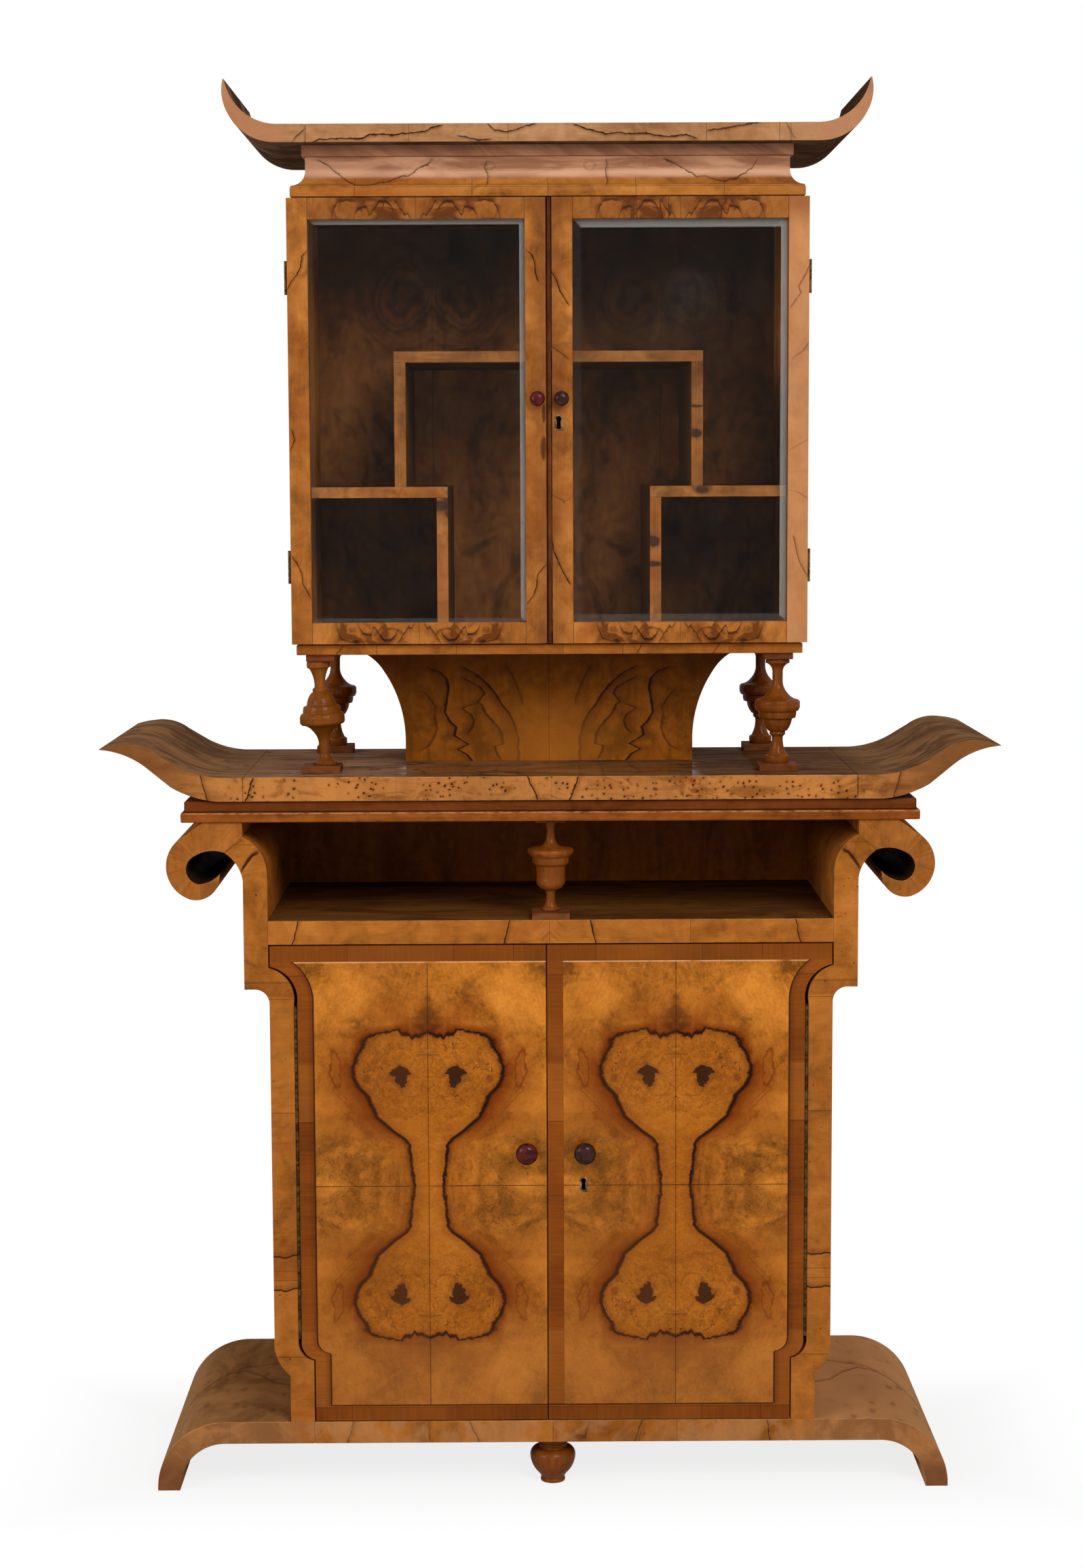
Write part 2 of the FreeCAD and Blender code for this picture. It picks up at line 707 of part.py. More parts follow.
def keyhole(name, depth):
    """Keyhole through a plate or a door: a round eye over a slot that widens downwards."""
    eye_z = "(dim.escutcheon_height / 2 - dim.escutcheon_width / 2)"
    eye = rod(f"{name}_eye", "dim.keyhole_radius", depth, "0", depth, eye_z, Vector(1, 0, 0), 90)
    slot = sawn(f"{name}_slot", [
        ("-dim.keyhole_neck / 2", eye_z),
        ("dim.keyhole_neck / 2", eye_z),
        ("dim.keyhole_foot / 2", f"{eye_z} - dim.keyhole_drop"),
        ("-dim.keyhole_foot / 2", f"{eye_z} - dim.keyhole_drop"),
    ], "0", depth)
    return joined(name, [eye, slot])


def escutcheon(name, x, y, z):
    """Brass plate with a round head and a square foot, with a keyhole sawn through it."""
    half_width = "dim.escutcheon_width / 2"
    half_height = "dim.escutcheon_height / 2"
    plate = sawn(f"{name}_plate", [
        (half_width, f"-{half_height}"),
        (half_width, f"{half_height} - {half_width}"),
        ("0", half_height, f"-{half_width}", f"{half_height} - {half_width}"),
        (f"-{half_width}", f"-{half_height}"),
    ], "0", "dim.escutcheon_thick")
    whole = cut(name, plate, keyhole(f"{name}_hole", "dim.escutcheon_thick"))
    place(whole, x, y, z)
    return whole


FIELD_REACH_SHARE = 0.7
FIELD_DROP_SHARE = 0.45
CORNER_REACH_SHARE = 0.14
CORNER_RISE_SHARE = 0.55
for side_name, side in SIDES:
    meet = f"{side} * (dim.meeting_offset + {side} * dim.meeting_gap / 2)"
    door_path = [(meet, lower_door_bottom), ("dim.low_half - dim.door_side_gap", lower_door_bottom)]
    door_path += inner_steps("dim.door_side_gap", "dim.hinge_gap")
    door_path += [("dim.high_half - dim.door_side_gap", lower_door_top), (meet, lower_door_top)]
    board = sawn(f"lower_board_{side_name}", mirrored(side, door_path), "at.base_front", "dim.door_thick")
    field_meet = f"{meet} + dim.band_width" if side > 0 else meet
    field_low = "dim.low_half - dim.door_side_gap - dim.band_width"
    field_mid = "dim.mid_half - dim.hinge_gap - dim.band_width"
    field_path = [
        (field_meet, f"{lower_door_bottom} + dim.band_width"),
        (field_low, f"{lower_door_bottom} + dim.band_width"),
        (field_low, "at.low_top + dim.band_width / 2"),
        (f"{field_low} + {FIELD_REACH_SHARE} * (({field_mid}) - ({field_low}))",
         f"at.low_end - {FIELD_DROP_SHARE} * dim.low_step_rise",
         field_mid, "at.low_end"),
        (field_mid, "at.high_start"),
        (f"{field_mid} + {CORNER_REACH_SHARE} * dim.corner_band_width",
         f"at.high_start + {CORNER_RISE_SHARE} * dim.high_step_rise",
         "dim.high_half - dim.door_side_gap - dim.corner_band_width",
         f"{lower_door_top} - dim.band_width"),
        (field_meet, f"{lower_door_top} - dim.band_width"),
    ]
    field = sawn(f"lower_field_{side_name}", mirrored(side, field_path),
                 "at.base_front - dim.field_proud", "dim.field_proud + dim.overrun")
    leaf = joined(f"lower_leaf_{side_name}", [board, field])
    if side > 0:
        pocket = box("lower_lock_pocket", "dim.meeting_offset + dim.meeting_gap / 2",
                     "at.base_front + dim.door_thick - dim.lower_case_thick",
                     f"{lower_keyhole_z} - dim.lower_case_height / 2",
                     "dim.lower_case_length", "dim.lower_case_thick", "dim.lower_case_height")
        way = keyhole("lower_key_way", "(dim.door_thick + dim.field_proud - dim.lower_case_thick)")
        place(way, "dim.lower_keyhole_x", "at.base_front - dim.field_proud", lower_keyhole_z)
        pocket = joined("lower_lock_room", [pocket, way])
    else:
        pocket = lower_lock_box("lower_strike", "dim.bolt_clear",
                                "(-dim.meeting_gap - dim.lower_bolt_length - dim.lower_bolt_travel)")
        pocket.setExpression("Length", "dim.lower_bolt_travel + dim.overrun")
        pocket.setExpression("Placement.Base.x", "dim.meeting_offset - dim.meeting_gap / 2 "
                             "- dim.lower_bolt_travel")
    node(cut(f"lower_door_{side_name}", leaf, pocket))

# Lower lock: a case let into the back of the right door, and its keyhole plate on the front.
lower_case = cut("lower_case", box(
    "lower_case_block", "dim.meeting_offset + dim.meeting_gap / 2",
    "at.base_front + dim.door_thick - dim.lower_case_thick",
    f"{lower_keyhole_z} - dim.lower_case_height / 2",
    "dim.lower_case_length", "dim.lower_case_thick", "dim.lower_case_height"),
    lower_lock_box("lower_bolt_channel", "dim.bolt_clear", "0"))


lower_plate = escutcheon("lower_escutcheon", "dim.lower_keyhole_x",
                         "at.base_front - dim.field_proud - dim.escutcheon_thick", lower_keyhole_z)
group("lower_lock", [lower_case, lower_plate])
box("lower_bolt", "dim.meeting_offset + dim.meeting_gap / 2 + dim.bolt_sink", lower_bolt_y,
    f"{lower_keyhole_z} - dim.lower_bolt_height / 2",
    "dim.lower_bolt_length", "dim.lower_bolt_thick", "dim.lower_bolt_height")
node(doc.lower_bolt)

# Knobs: turned mushrooms with a narrow foot, their axes square to the doors.
KNOB_SHARES = [
    (0.3, 0), (0.7, 0.07, 0.93, 0.19), (1, 0.34, 0.92, 0.52), (0.8, 0.64, 0.52, 0.7),
    (0.47, 0.76), (0.48, 0.9), (0.56, 0.94), (0.56, 1),
]


def knob(name, radius, reach, x, face, z):
    """Knob standing out to the front from a face."""
    piece = turned(name, KNOB_SHARES, radius, reach)
    piece.Placement.Rotation = FreeCAD.Rotation(Vector(1, 0, 0), 90)
    place(piece, x, f"{face} - {reach} / 2", z)
    node(piece)


lower_face = "at.base_front - dim.field_proud"
lower_knob_z = "at.floor + dim.lower_knob_height"
knob("lower_knob_left", "dim.lower_knob_radius", "dim.lower_knob_reach",
     "-dim.lower_knob_left", lower_face, lower_knob_z)
knob("lower_knob_right", "dim.lower_knob_radius", "dim.lower_knob_reach",
     "dim.lower_knob_right", lower_face, lower_knob_z)


def hinge_leaf(name, kind, height, count, opening, fixed, side, web_start):
    """Hinge half about its own pin, running up from its lower end, its leaf towards +Y.

    The knuckles of the two halves alternate. The fixed half holds the pin, and the other
    half's knuckles are bored to turn on it.
    """
    body = doc.addObject("PartDesign::Body", name)
    outside = side if fixed else -side
    near = f"{outside} * ({opening} / 2 - dim.hinge_leaf_thick)"
    far = f"{outside} * {opening} / 2"
    barrel = f"dim.{kind}_barrel_radius"
    leaf_start = f"{barrel} + dim.barrel_clear"
    leaf_end = f"{leaf_start} + dim.{kind}_leaf_width"
    pitch = f"({height} / {count})"
    first = "0" if fixed else pitch
    knuckle = f"{pitch} - dim.knuckle_gap"
    plate = outline(body, name + "_leaf", "XY_Plane", [
        (near, leaf_start), (far, leaf_start), (far, leaf_end), (near, leaf_end)])
    pad(body, plate, f"{height} - dim.knuckle_gap")
    web = outline(body, name + "_web", "XY_Plane", [
        (near, web_start), (far, web_start), (far, f"{leaf_start} + dim.hinge_leaf_thick"),
        (near, f"{leaf_start} + dim.hinge_leaf_thick")])
    bore = f"dim.{kind}_pin_radius + dim.pin_clear"
    ring = circles(body, name + "_ring", [barrel] if fixed else [barrel, bore])
    features = []
    for sketch in (web, ring):
        sketch.setExpression("AttachmentOffset.Base.z", first)
        features.append(pad(body, sketch, knuckle))
    doc.recompute()
    pattern = body.newObject("PartDesign::LinearPattern", name + "_knuckles")
    pattern.Originals = features
    pattern.Direction = (ring, ["N_Axis"])
    repeats = f"floor(({count} + 1) / 2)" if fixed else f"floor({count} / 2)"
    pattern.setExpression("Length", f"2 * {pitch} * ({repeats} - 1)")
    pattern.setExpression("Occurrences", repeats)
    body.Tip = pattern
    if fixed:
        pad(body, circles(body, name + "_pin", [f"dim.{kind}_pin_radius"]),
            f"{height} - dim.knuckle_gap")
    return body


# Piano hinges: a long brass hinge on the upright stretch of each lower door.
piano_halves = {True: [], False: []}
for side_name, side in SIDES:
    for fixed in (True, False):
        kind_name = "fixed" if fixed else "moving"
        half = hinge_leaf(f"piano_{kind_name}_{side_name}", "piano", "at.piano_height",
                          "dim.piano_knuckle_count", "dim.hinge_gap", fixed, side, "0")
        place(half, f"{side} * at.piano_x", "at.base_front",
              "at.low_end + dim.piano_end_gap + dim.knuckle_gap / 2")
        piano_halves[fixed].append(half)
group("piano_hinges", piano_halves[True])
for (side_name, side), half in zip(SIDES, piano_halves[False]):
    node(half, f"lower_door_{side_name}_hinge")

# Columns: four turned balusters between square plates. The front left one stands on its head
# and leans a little, trimmed flush to its plates.
COLUMN_SHARES = [
    (0.5, 0), (0.53, 0.015), (0.53, 0.04), (0.3, 0.07, 0.22, 0.13), (0.22, 0.19),
    (0.27, 0.27, 0.48, 0.335), (0.7, 0.37, 0.95, 0.385), (1, 0.4), (1, 0.455), (0.96, 0.487),
    (0.82, 0.495), (0.83, 0.515), (0.82, 0.55), (0.76, 0.568), (0.58, 0.58), (0.54, 0.64, 0.3, 0.69),
    (0.31, 0.71), (0.31, 0.73), (0.24, 0.745), (0.28, 0.82, 0.42, 0.89), (0.53, 0.92), (0.53, 0.975),
    (0.5, 1),
]
column_height = "(dim.stand_height - dim.column_base_thick - dim.column_cap_thick)"
column_middle = f"at.table_top + dim.column_base_thick + {column_height} / 2"
back_columns = []
plates = []
for row_name, setback in (("front", "dim.column_front_setback"), ("back", "dim.column_back_setback")):
    for side_name, side in SIDES:
        name = f"column_{row_name}_{side_name}"
        middle_x = f"{side} * at.column_half"
        middle_y = f"at.front + {setback}"
        if (row_name, side_name) == ("front", "left"):
            column = turned("leaning_column", COLUMN_SHARES, "dim.column_radius",
                            f"({column_height} + 2 * dim.lean_spare)")
            column.Placement.Rotation = FreeCAD.Rotation(Vector(0, 1, 0), 180)
            column.setExpression("Placement.Rotation.Angle", "180 - dim.lean_degrees")
            place(column, middle_x, middle_y, column_middle)
            slab = box("column_room", f"{middle_x} - 2 * dim.column_radius",
                       f"{middle_y} - 2 * dim.column_radius", "at.table_top + dim.column_base_thick",
                       "4 * dim.column_radius", "4 * dim.column_radius", column_height)
            trimmed = doc.addObject("Part::Common", name)
            trimmed.Base = column
            trimmed.Tool = slab
            node(trimmed)
        else:
            column = turned(name, COLUMN_SHARES, "dim.column_radius", column_height)
            place(column, middle_x, middle_y, column_middle)
            if row_name == "front":
                node(column)
            else:
                back_columns.append(column)
        plates.append(box(
            f"base_plate_{row_name}_{side_name}", f"{middle_x} - dim.column_base_side / 2",
            f"{middle_y} - dim.column_base_side / 2", "at.table_top",
            "dim.column_base_side", "dim.column_base_side", "dim.column_base_thick"))
        plates.append(box(
            f"cap_plate_{row_name}_{side_name}", f"{middle_x} - dim.column_cap_side / 2",
            f"{middle_y} - dim.column_cap_side / 2", "at.plinth_under - dim.column_cap_thick",
            "dim.column_cap_side", "dim.column_cap_side", "dim.column_cap_thick"))
group("columns_back", back_columns)
group("column_plates", plates)

# Pedestal: a hollow box whose sides rise straight and then flare out in a quarter ellipse.
flare_start = "(at.table_top + dim.pedestal_straight)"
flare_rise = "(dim.stand_height - dim.pedestal_straight)"
flare_outer = "(dim.pedestal_half + dim.pedestal_flare)"


def flare_place(degrees):
    """Place on the flare, at a turn about the centre of its ellipse."""
    rise_share, reach_share = curve_share(degrees)
    return (f"{flare_outer} - {reach_share} * dim.pedestal_flare",
            f"{flare_start} + {rise_share} * {flare_rise}")


flare_path = [
    ("dim.pedestal_half", "at.table_top"),
    ("dim.pedestal_half", flare_start),
    flare_place(25) + flare_place(50),
    flare_place(70) + (flare_outer, "at.plinth_under"),
]
front_path = mirrored(1, flare_path)
left_flare = mirrored(-1, flare_path)
front_path += [
    left_flare[3][-2:],
    left_flare[3][:2] + left_flare[2][-2:],
    left_flare[2][:2] + left_flare[1],
    left_flare[0],
]
back_board_y = "at.front + dim.column_back_setback - dim.pedestal_back_inset"
cheek_front = "at.front + dim.pedestal_setback + dim.pedestal_front_thick"
node(sawn("pedestal_front", front_path, "at.front + dim.pedestal_setback", "dim.pedestal_front_thick"))
node(sawn("pedestal_back", front_path, back_board_y, "dim.pedestal_back_thick"))
CHEEK_REACH_SHARE = 0.05
CHEEK_RISE_SHARE = 0.52
cheeks = []
for side_name, side in SIDES:
    cheek_path = flare_path + [
        (f"{flare_outer} - dim.cheek_land", "at.plinth_under"),
        (f"dim.pedestal_half - {CHEEK_REACH_SHARE} * dim.cheek_thick",
         f"{flare_start} + {CHEEK_RISE_SHARE} * {flare_rise}",
         "dim.pedestal_half - dim.cheek_thick", flare_start),
        ("dim.pedestal_half - dim.cheek_thick", "at.table_top"),
    ]
    cheeks.append(sawn(f"pedestal_cheek_{side_name}", mirrored(side, cheek_path), cheek_front,
                       f"{back_board_y} - ({cheek_front})"))
group("pedestal_cheeks", cheeks)

# Upper case: a plinth board, a floor, two sides, a top and a back panel.
box("case_plinth", "-at.plinth_half", "at.front + dim.plinth_setback", "at.plinth_under",
    "2 * at.plinth_half", "dim.table_depth - dim.plinth_setback", "dim.plinth_thick")
node(doc.case_plinth)
case_depth = "(at.back - at.case_front)"
board_depth = "(at.case_back - at.case_front)"
group("case_sides", [
    box(f"case_side_{side_name}", start, "at.case_front", "at.plinth_top",
        "dim.case_side_thick", case_depth, "dim.case_height")
    for side_name, start in (("left", "-at.case_half"), ("right", "at.case_inner"))])
box("case_floor", "-at.case_inner", "at.case_front", "at.plinth_top",
    "2 * at.case_inner", board_depth, "dim.case_board_thick")
node(doc.case_floor)
box("case_top", "-at.case_inner", "at.case_front", "at.case_ceiling",
    "2 * at.case_inner", board_depth, "dim.case_board_thick")
node(doc.case_top)
box("case_back", "-at.case_inner", "at.case_back", "at.plinth_top",
    "2 * at.case_inner", "dim.case_back_thick", "dim.case_height")
node(doc.case_back)

# Inside: a shelf on each side carried by an upright, and a bridge standing on the two shelves.
side_shelf_under = "(at.plinth_top + dim.side_shelf_height)"
group("side_shelves", [
    box(f"side_shelf_{side_name}", start, "at.shelf_front", side_shelf_under,
        "at.case_inner - dim.upright_half", "at.shelf_depth", "dim.shelf_thick")
    for side_name, start in (("left", "-at.case_inner"), ("right", "dim.upright_half"))])
group("case_uprights", [
    box(f"upright_{side_name}", start, "at.shelf_front", "at.case_floor",
        "dim.upright_thick", "at.shelf_depth", f"{side_shelf_under} - at.case_floor")
    for side_name, start in (("left", "-dim.upright_half - dim.upright_thick"),
                             ("right", "dim.upright_half"))])
group("bridge_uprights", [
    box(f"bridge_upright_{side_name}", start, "at.shelf_front", "at.side_shelf_top",
        "dim.bridge_upright_thick", "at.shelf_depth", "dim.bridge_rise")
    for side_name, start in (("left", "-dim.bridge_half"),
                             ("right", "dim.bridge_half - dim.bridge_upright_thick"))])
box("bridge_shelf", "-dim.bridge_half", "at.shelf_front", "at.bridge_under",
    "2 * dim.bridge_half", "at.shelf_depth", "dim.shelf_thick")
node(doc.bridge_shelf)

# Upper doors: rebated frames of full-height stiles and rails between them, bevelled glass
# from behind, and a glazing bead that fills the rebate behind the glass.
upper_keyhole_z = "(at.upper_door_low + dim.upper_keyhole_height)"
upper_case_y = "at.upper_door_back - dim.upper_case_thick"
opening_low = "(at.upper_door_low + dim.rail_width)"
opening_height = "(at.upper_door_height - 2 * dim.rail_width)"
glass_y = "(at.upper_front + dim.door_lip)"
lock_pocket = box("upper_lock_pocket", "dim.right_door_edge", upper_case_y,
                  f"{upper_keyhole_z} - dim.upper_case_height / 2",
                  "dim.upper_case_length", "dim.upper_case_thick", "dim.upper_case_height")
for side_name, side in SIDES:
    meet = f"dim.{side_name}_door_edge"
    door_width = f"(at.upper_door_half - {meet})"
    opening_width = f"({door_width} - 2 * dim.stile_width)"
    inner = f"({meet} + dim.stile_width)" if side > 0 else "(dim.stile_width - at.upper_door_half)"
    low_x = meet if side > 0 else "-at.upper_door_half"
    high_x = "(at.upper_door_half - dim.stile_width)" if side > 0 else f"(-{meet} - dim.stile_width)"
    rebate = box(f"rebate_{side_name}", f"{inner} - dim.rebate_width", glass_y,
                 f"{opening_low} - dim.rebate_width", f"{opening_width} + 2 * dim.rebate_width",
                 "dim.upper_door_thick", f"{opening_height} + 2 * dim.rebate_width")
    members = [
        box(f"stile_low_{side_name}", low_x, "at.upper_front", "at.upper_door_low",
            "dim.stile_width", "dim.upper_door_thick", "at.upper_door_height"),
        box(f"stile_high_{side_name}", high_x, "at.upper_front", "at.upper_door_low",
            "dim.stile_width", "dim.upper_door_thick", "at.upper_door_height"),
        box(f"rail_low_{side_name}", inner, "at.upper_front", "at.upper_door_low",
            opening_width, "dim.upper_door_thick", "dim.rail_width"),
        box(f"rail_high_{side_name}", inner, "at.upper_front", f"{opening_low} + {opening_height}",
            opening_width, "dim.upper_door_thick", "dim.rail_width"),
    ]
    frame_pieces = [cut(f"{member.Name}_rebated", member, rebate) for member in members]
    if side > 0:
        way = keyhole("upper_key_way", "(dim.upper_door_thick - dim.upper_case_thick)")
        place(way, "dim.upper_keyhole_x", "at.upper_front", upper_keyhole_z)
        frame_pieces[0] = cut("lock_stile", frame_pieces[0],
                              joined("upper_lock_room", [lock_pocket, way]))
    bead_y = f"{glass_y} + dim.glass_thick"
    bead_depth = f"at.upper_door_back - ({bead_y})"
    bead_block = box(f"bead_block_{side_name}", f"{inner} - dim.rebate_width", bead_y,
                     f"{opening_low} - dim.rebate_width", f"{opening_width} + 2 * dim.rebate_width",
                     bead_depth, f"{opening_height} + 2 * dim.rebate_width")
    bead_opening = box(f"bead_opening_{side_name}", inner, bead_y, opening_low,
                       opening_width, f"{bead_depth} + dim.overrun", opening_height)
    bead = cut(f"bead_{side_name}", bead_block, bead_opening)
    if side > 0:
        bead = cut("lock_bead", bead, lock_pocket)
    group(f"upper_door_{side_name}_frame", frame_pieces + [bead])
    glass_width = f"({opening_width} + 2 * dim.rebate_width)"
    glass_height = f"({opening_height} + 2 * dim.rebate_width)"
    sheet = box(f"glass_sheet_{side_name}", f"{inner} - dim.rebate_width",
                f"{glass_y} + dim.glass_bevel_depth", f"{opening_low} - dim.rebate_width",
                glass_width, "dim.glass_thick - dim.glass_bevel_depth", glass_height)
    bevel = doc.addObject("Part::Wedge", f"glass_bevel_{side_name}")
    shrink = "(dim.glass_bevel + dim.rebate_width)"
    for prop, expression in (
            ("Xmin", shrink), ("Zmin", shrink), ("Ymin", "0"), ("Ymax", "dim.glass_bevel_depth"),
            ("Xmax", f"{glass_width} - {shrink}"), ("Zmax", f"{glass_height} - {shrink}"),
            ("X2min", "0"), ("Z2min", "0"), ("X2max", glass_width), ("Z2max", glass_height)):
        bevel.setExpression(prop, expression)
    place(bevel, f"{inner} - dim.rebate_width", glass_y, f"{opening_low} - dim.rebate_width")
    node(joined(f"upper_glass_{side_name}", [sheet, bevel]))

# Astragal: a narrow rebated strip on the left door's edge, which fills the meeting gap.
strip = joined("strip", [
    box("strip_body", "-dim.left_door_edge", "at.upper_front + dim.astragal_body_setback",
        "at.upper_door_low", "dim.left_door_edge + dim.astragal_edge",
        "dim.upper_door_thick - dim.astragal_body_setback", "at.upper_door_height"),
    box("strip_nose", "dim.astragal_edge - dim.astragal_nose",
        "at.upper_front + dim.astragal_nose_setback", "at.upper_door_low", "dim.astragal_nose",
        "dim.astragal_body_setback - dim.astragal_nose_setback", "at.upper_door_height"),
])
upper_bolt_y = "(at.upper_door_back - dim.upper_case_thick / 2 - dim.upper_bolt_thick / 2)"
strike = box("upper_strike", "-dim.left_door_edge", f"{upper_bolt_y} - dim.bolt_clear",
             f"{upper_keyhole_z} - dim.upper_bolt_height / 2 - dim.bolt_clear",
             "dim.left_door_edge + dim.astragal_edge + dim.overrun",
             "dim.upper_bolt_thick + 2 * dim.bolt_clear", "dim.upper_bolt_height + 2 * dim.bolt_clear")
node(cut("astragal", strip, strike))

# Upper lock: a small case in the right door's inner stile, its keyhole plate and its bolt.
upper_case = cut("upper_case", box(
    "upper_case_block", "dim.right_door_edge", upper_case_y,
    f"{upper_keyhole_z} - dim.upper_case_height / 2",
    "dim.upper_case_length", "dim.upper_case_thick", "dim.upper_case_height"),
    box("upper_bolt_channel", "dim.right_door_edge", f"{upper_bolt_y} - dim.bolt_clear",
        f"{upper_keyhole_z} - dim.upper_bolt_height / 2 - dim.bolt_clear",
        "dim.upper_bolt_length + dim.upper_bolt_travel",
        "dim.upper_bolt_thick + 2 * dim.bolt_clear", "dim.upper_bolt_height + 2 * dim.bolt_clear"))
upper_plate = escutcheon("upper_escutcheon", "dim.upper_keyhole_x",
                         "at.upper_front - dim.escutcheon_thick", upper_keyhole_z)
group("upper_lock", [upper_case, upper_plate])
box("upper_bolt", "dim.right_door_edge + dim.bolt_sink", upper_bolt_y,
    f"{upper_keyhole_z} - dim.upper_bolt_height / 2",
    "dim.upper_bolt_length", "dim.upper_bolt_thick", "dim.upper_bolt_height")
node(doc.upper_bolt)
upper_knob_z = "at.upper_door_low + dim.upper_knob_height"
knob("upper_knob_left", "dim.upper_knob_radius", "dim.upper_knob_reach",
     "-dim.upper_knob_left", "at.upper_front", upper_knob_z)
knob("upper_knob_right", "dim.upper_knob_radius", "dim.upper_knob_reach",
     "dim.upper_knob_right", "at.upper_front", upper_knob_z)

# Butt hinges: two small ones per upper door, their barrels at the outer back corner.
WEB_SHARE = 0.62
butt_fixed = []
for side_name, side in SIDES:
    moving = []
    for level_name, level in (
            ("low", "at.upper_door_low + dim.butt_inset"),
            ("high", "at.upper_door_low + at.upper_door_height - dim.butt_inset - dim.butt_height")):
        for fixed in (True, False):
            kind_name = "fixed" if fixed else "moving"
            half = hinge_leaf(f"butt_{kind_name}_{side_name}_{level_name}", "butt",
                              "dim.butt_height", "dim.butt_knuckle_count", "dim.upper_door_gap",
                              fixed, side,
                              f"{WEB_SHARE} * dim.butt_barrel_radius")
            half.Placement.Rotation = FreeCAD.Rotation(Vector(0, 0, 1), side * 90)
            place(half, f"{side} * at.butt_x", "at.butt_y", level)
            (butt_fixed if fixed else moving).append(half)
    group(f"upper_door_{side_name}_hinges", moving)
group("butt_hinges", butt_fixed)

# Cornice: a flat fillet, a cove that draws in over a concave foot, and a narrower fillet.
group("cornice_fillets", [
    box("fillet_low", "-at.fillet_half", "at.front + dim.fillet_setback", "at.case_top",
        "2 * at.fillet_half", "dim.table_depth - dim.fillet_setback", "dim.fillet_thick"),
    box("fillet_high", "-at.neck_half", "at.front + dim.neck_setback", "at.cove_top",
        "2 * at.neck_half", "dim.table_depth - dim.neck_setback", "dim.neck_thick"),
])
HOLLOW_SHARE = 1 - EIGHTH_SHARE
cove_half_path = [
    ("at.cove_half", "at.fillet_top"),
    ("at.cove_half", "at.fillet_top + dim.cove_foot"),
    (f"at.cove_half - (1 - {HOLLOW_SHARE}) * dim.cove_reach",
     f"at.fillet_top + dim.cove_foot + {HOLLOW_SHARE} * dim.cove_curve_height",
     "at.cove_half - dim.cove_reach", "at.fillet_top + dim.cove_foot + dim.cove_curve_height"),
    ("at.cove_half - dim.cove_reach", "at.cove_top"),
]
left_half = mirrored(-1, cove_half_path)
across = sawn("cove_across", mirrored(1, cove_half_path) + [
    left_half[3],
    left_half[2][-2:],
    left_half[2][:2] + left_half[1],
    left_half[0],
], "at.front + dim.cove_setback", "dim.table_depth - dim.cove_setback")
cove_front = "(at.front + dim.cove_setback)"
along_body = doc.addObject("PartDesign::Body", "cove_along")
along_sketch = outline(along_body, "cove_along_outline", "YZ_Plane", [
    (cove_front, "at.fillet_top"),
    ("at.back", "at.fillet_top"),
    ("at.back", "at.cove_top"),
    (f"{cove_front} + dim.cove_reach", "at.cove_top"),
    (f"{cove_front} + dim.cove_reach", "at.fillet_top + dim.cove_foot + dim.cove_curve_height"),
    (f"{cove_front} + (1 - {HOLLOW_SHARE}) * dim.cove_reach",
     f"at.fillet_top + dim.cove_foot + {HOLLOW_SHARE} * dim.cove_curve_height",
     cove_front, "at.fillet_top + dim.cove_foot"),
])
pad(along_body, along_sketch, "2 * at.cove_half")
place(along_body, x="-at.cove_half")
cove_block = doc.addObject("Part::Common", "cove_block")
cove_block.Base = across
cove_block.Tool = along_body
cove_inside = box("cove_inside", "dim.cove_wall - at.cove_half", f"{cove_front} + dim.cove_wall",
                  "at.fillet_top", "2 * (at.cove_half - dim.cove_wall)",
                  "dim.table_depth - dim.cove_setback - 2 * dim.cove_wall", "dim.cove_height")
node(cut("cornice_cove", cove_block, cove_inside))

# Roof: a board that overhangs the cornice, with a horn at each end that curls up to a point.
box("roof_board", "-at.roof_joint_half", "at.front + dim.roof_setback", "at.roof_under",
    "2 * at.roof_joint_half", "dim.table_depth - dim.roof_setback", "dim.roof_thick")
node(doc.roof_board)


def horn_place(reach_share, rise_share):
    """Point of a horn, from the joint outwards and from the underside to the tip."""
    return (f"at.roof_joint_half + {reach_share} * dim.horn_reach",
            f"at.roof_under + {rise_share} * (dim.roof_thick + dim.horn_rise)")


horns = []
for side_name, side in SIDES:
    horn_path = [
        ("at.roof_joint_half", "at.roof_under"),
        (horn_place(0.36, 0)[0], "at.roof_under"),
        horn_place(0.72, 0.13) + horn_place(0.94, 0.44),
        horn_place(1.015, 0.72) + horn_place(1, 1),
        horn_place(0.986, 0.99),
        horn_place(0.755, 0.478) + (horn_place(0.3, 0)[0], "at.roof_top"),
        ("at.roof_joint_half", "at.roof_top"),
    ]
    horns.append(sawn(f"roof_horn_{side_name}", mirrored(side, horn_path),
                      "at.front + dim.roof_setback", "dim.table_depth - dim.roof_setback"))
group("roof_horns", horns)

doc.recompute()
for piece in doc.Objects:
    if {"Invalid", "Error"} & set(piece.State):
        raise RuntimeError(f"{piece.Name} failed: {piece.State}")
for label, piece in nodes.items():
    if piece.Shape.isNull() or not piece.Shape.isValid():
        raise RuntimeError(f"{label} has no valid shape")

os.makedirs("parts", exist_ok=True)
for label, piece in nodes.items():
    piece.Shape.exportStep(f"parts/{label}.step")
print(f"{len(nodes)} sub-parts written")
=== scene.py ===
import bmesh
import bpy
import math
import numpy as np
from mathutils import Matrix, Vector


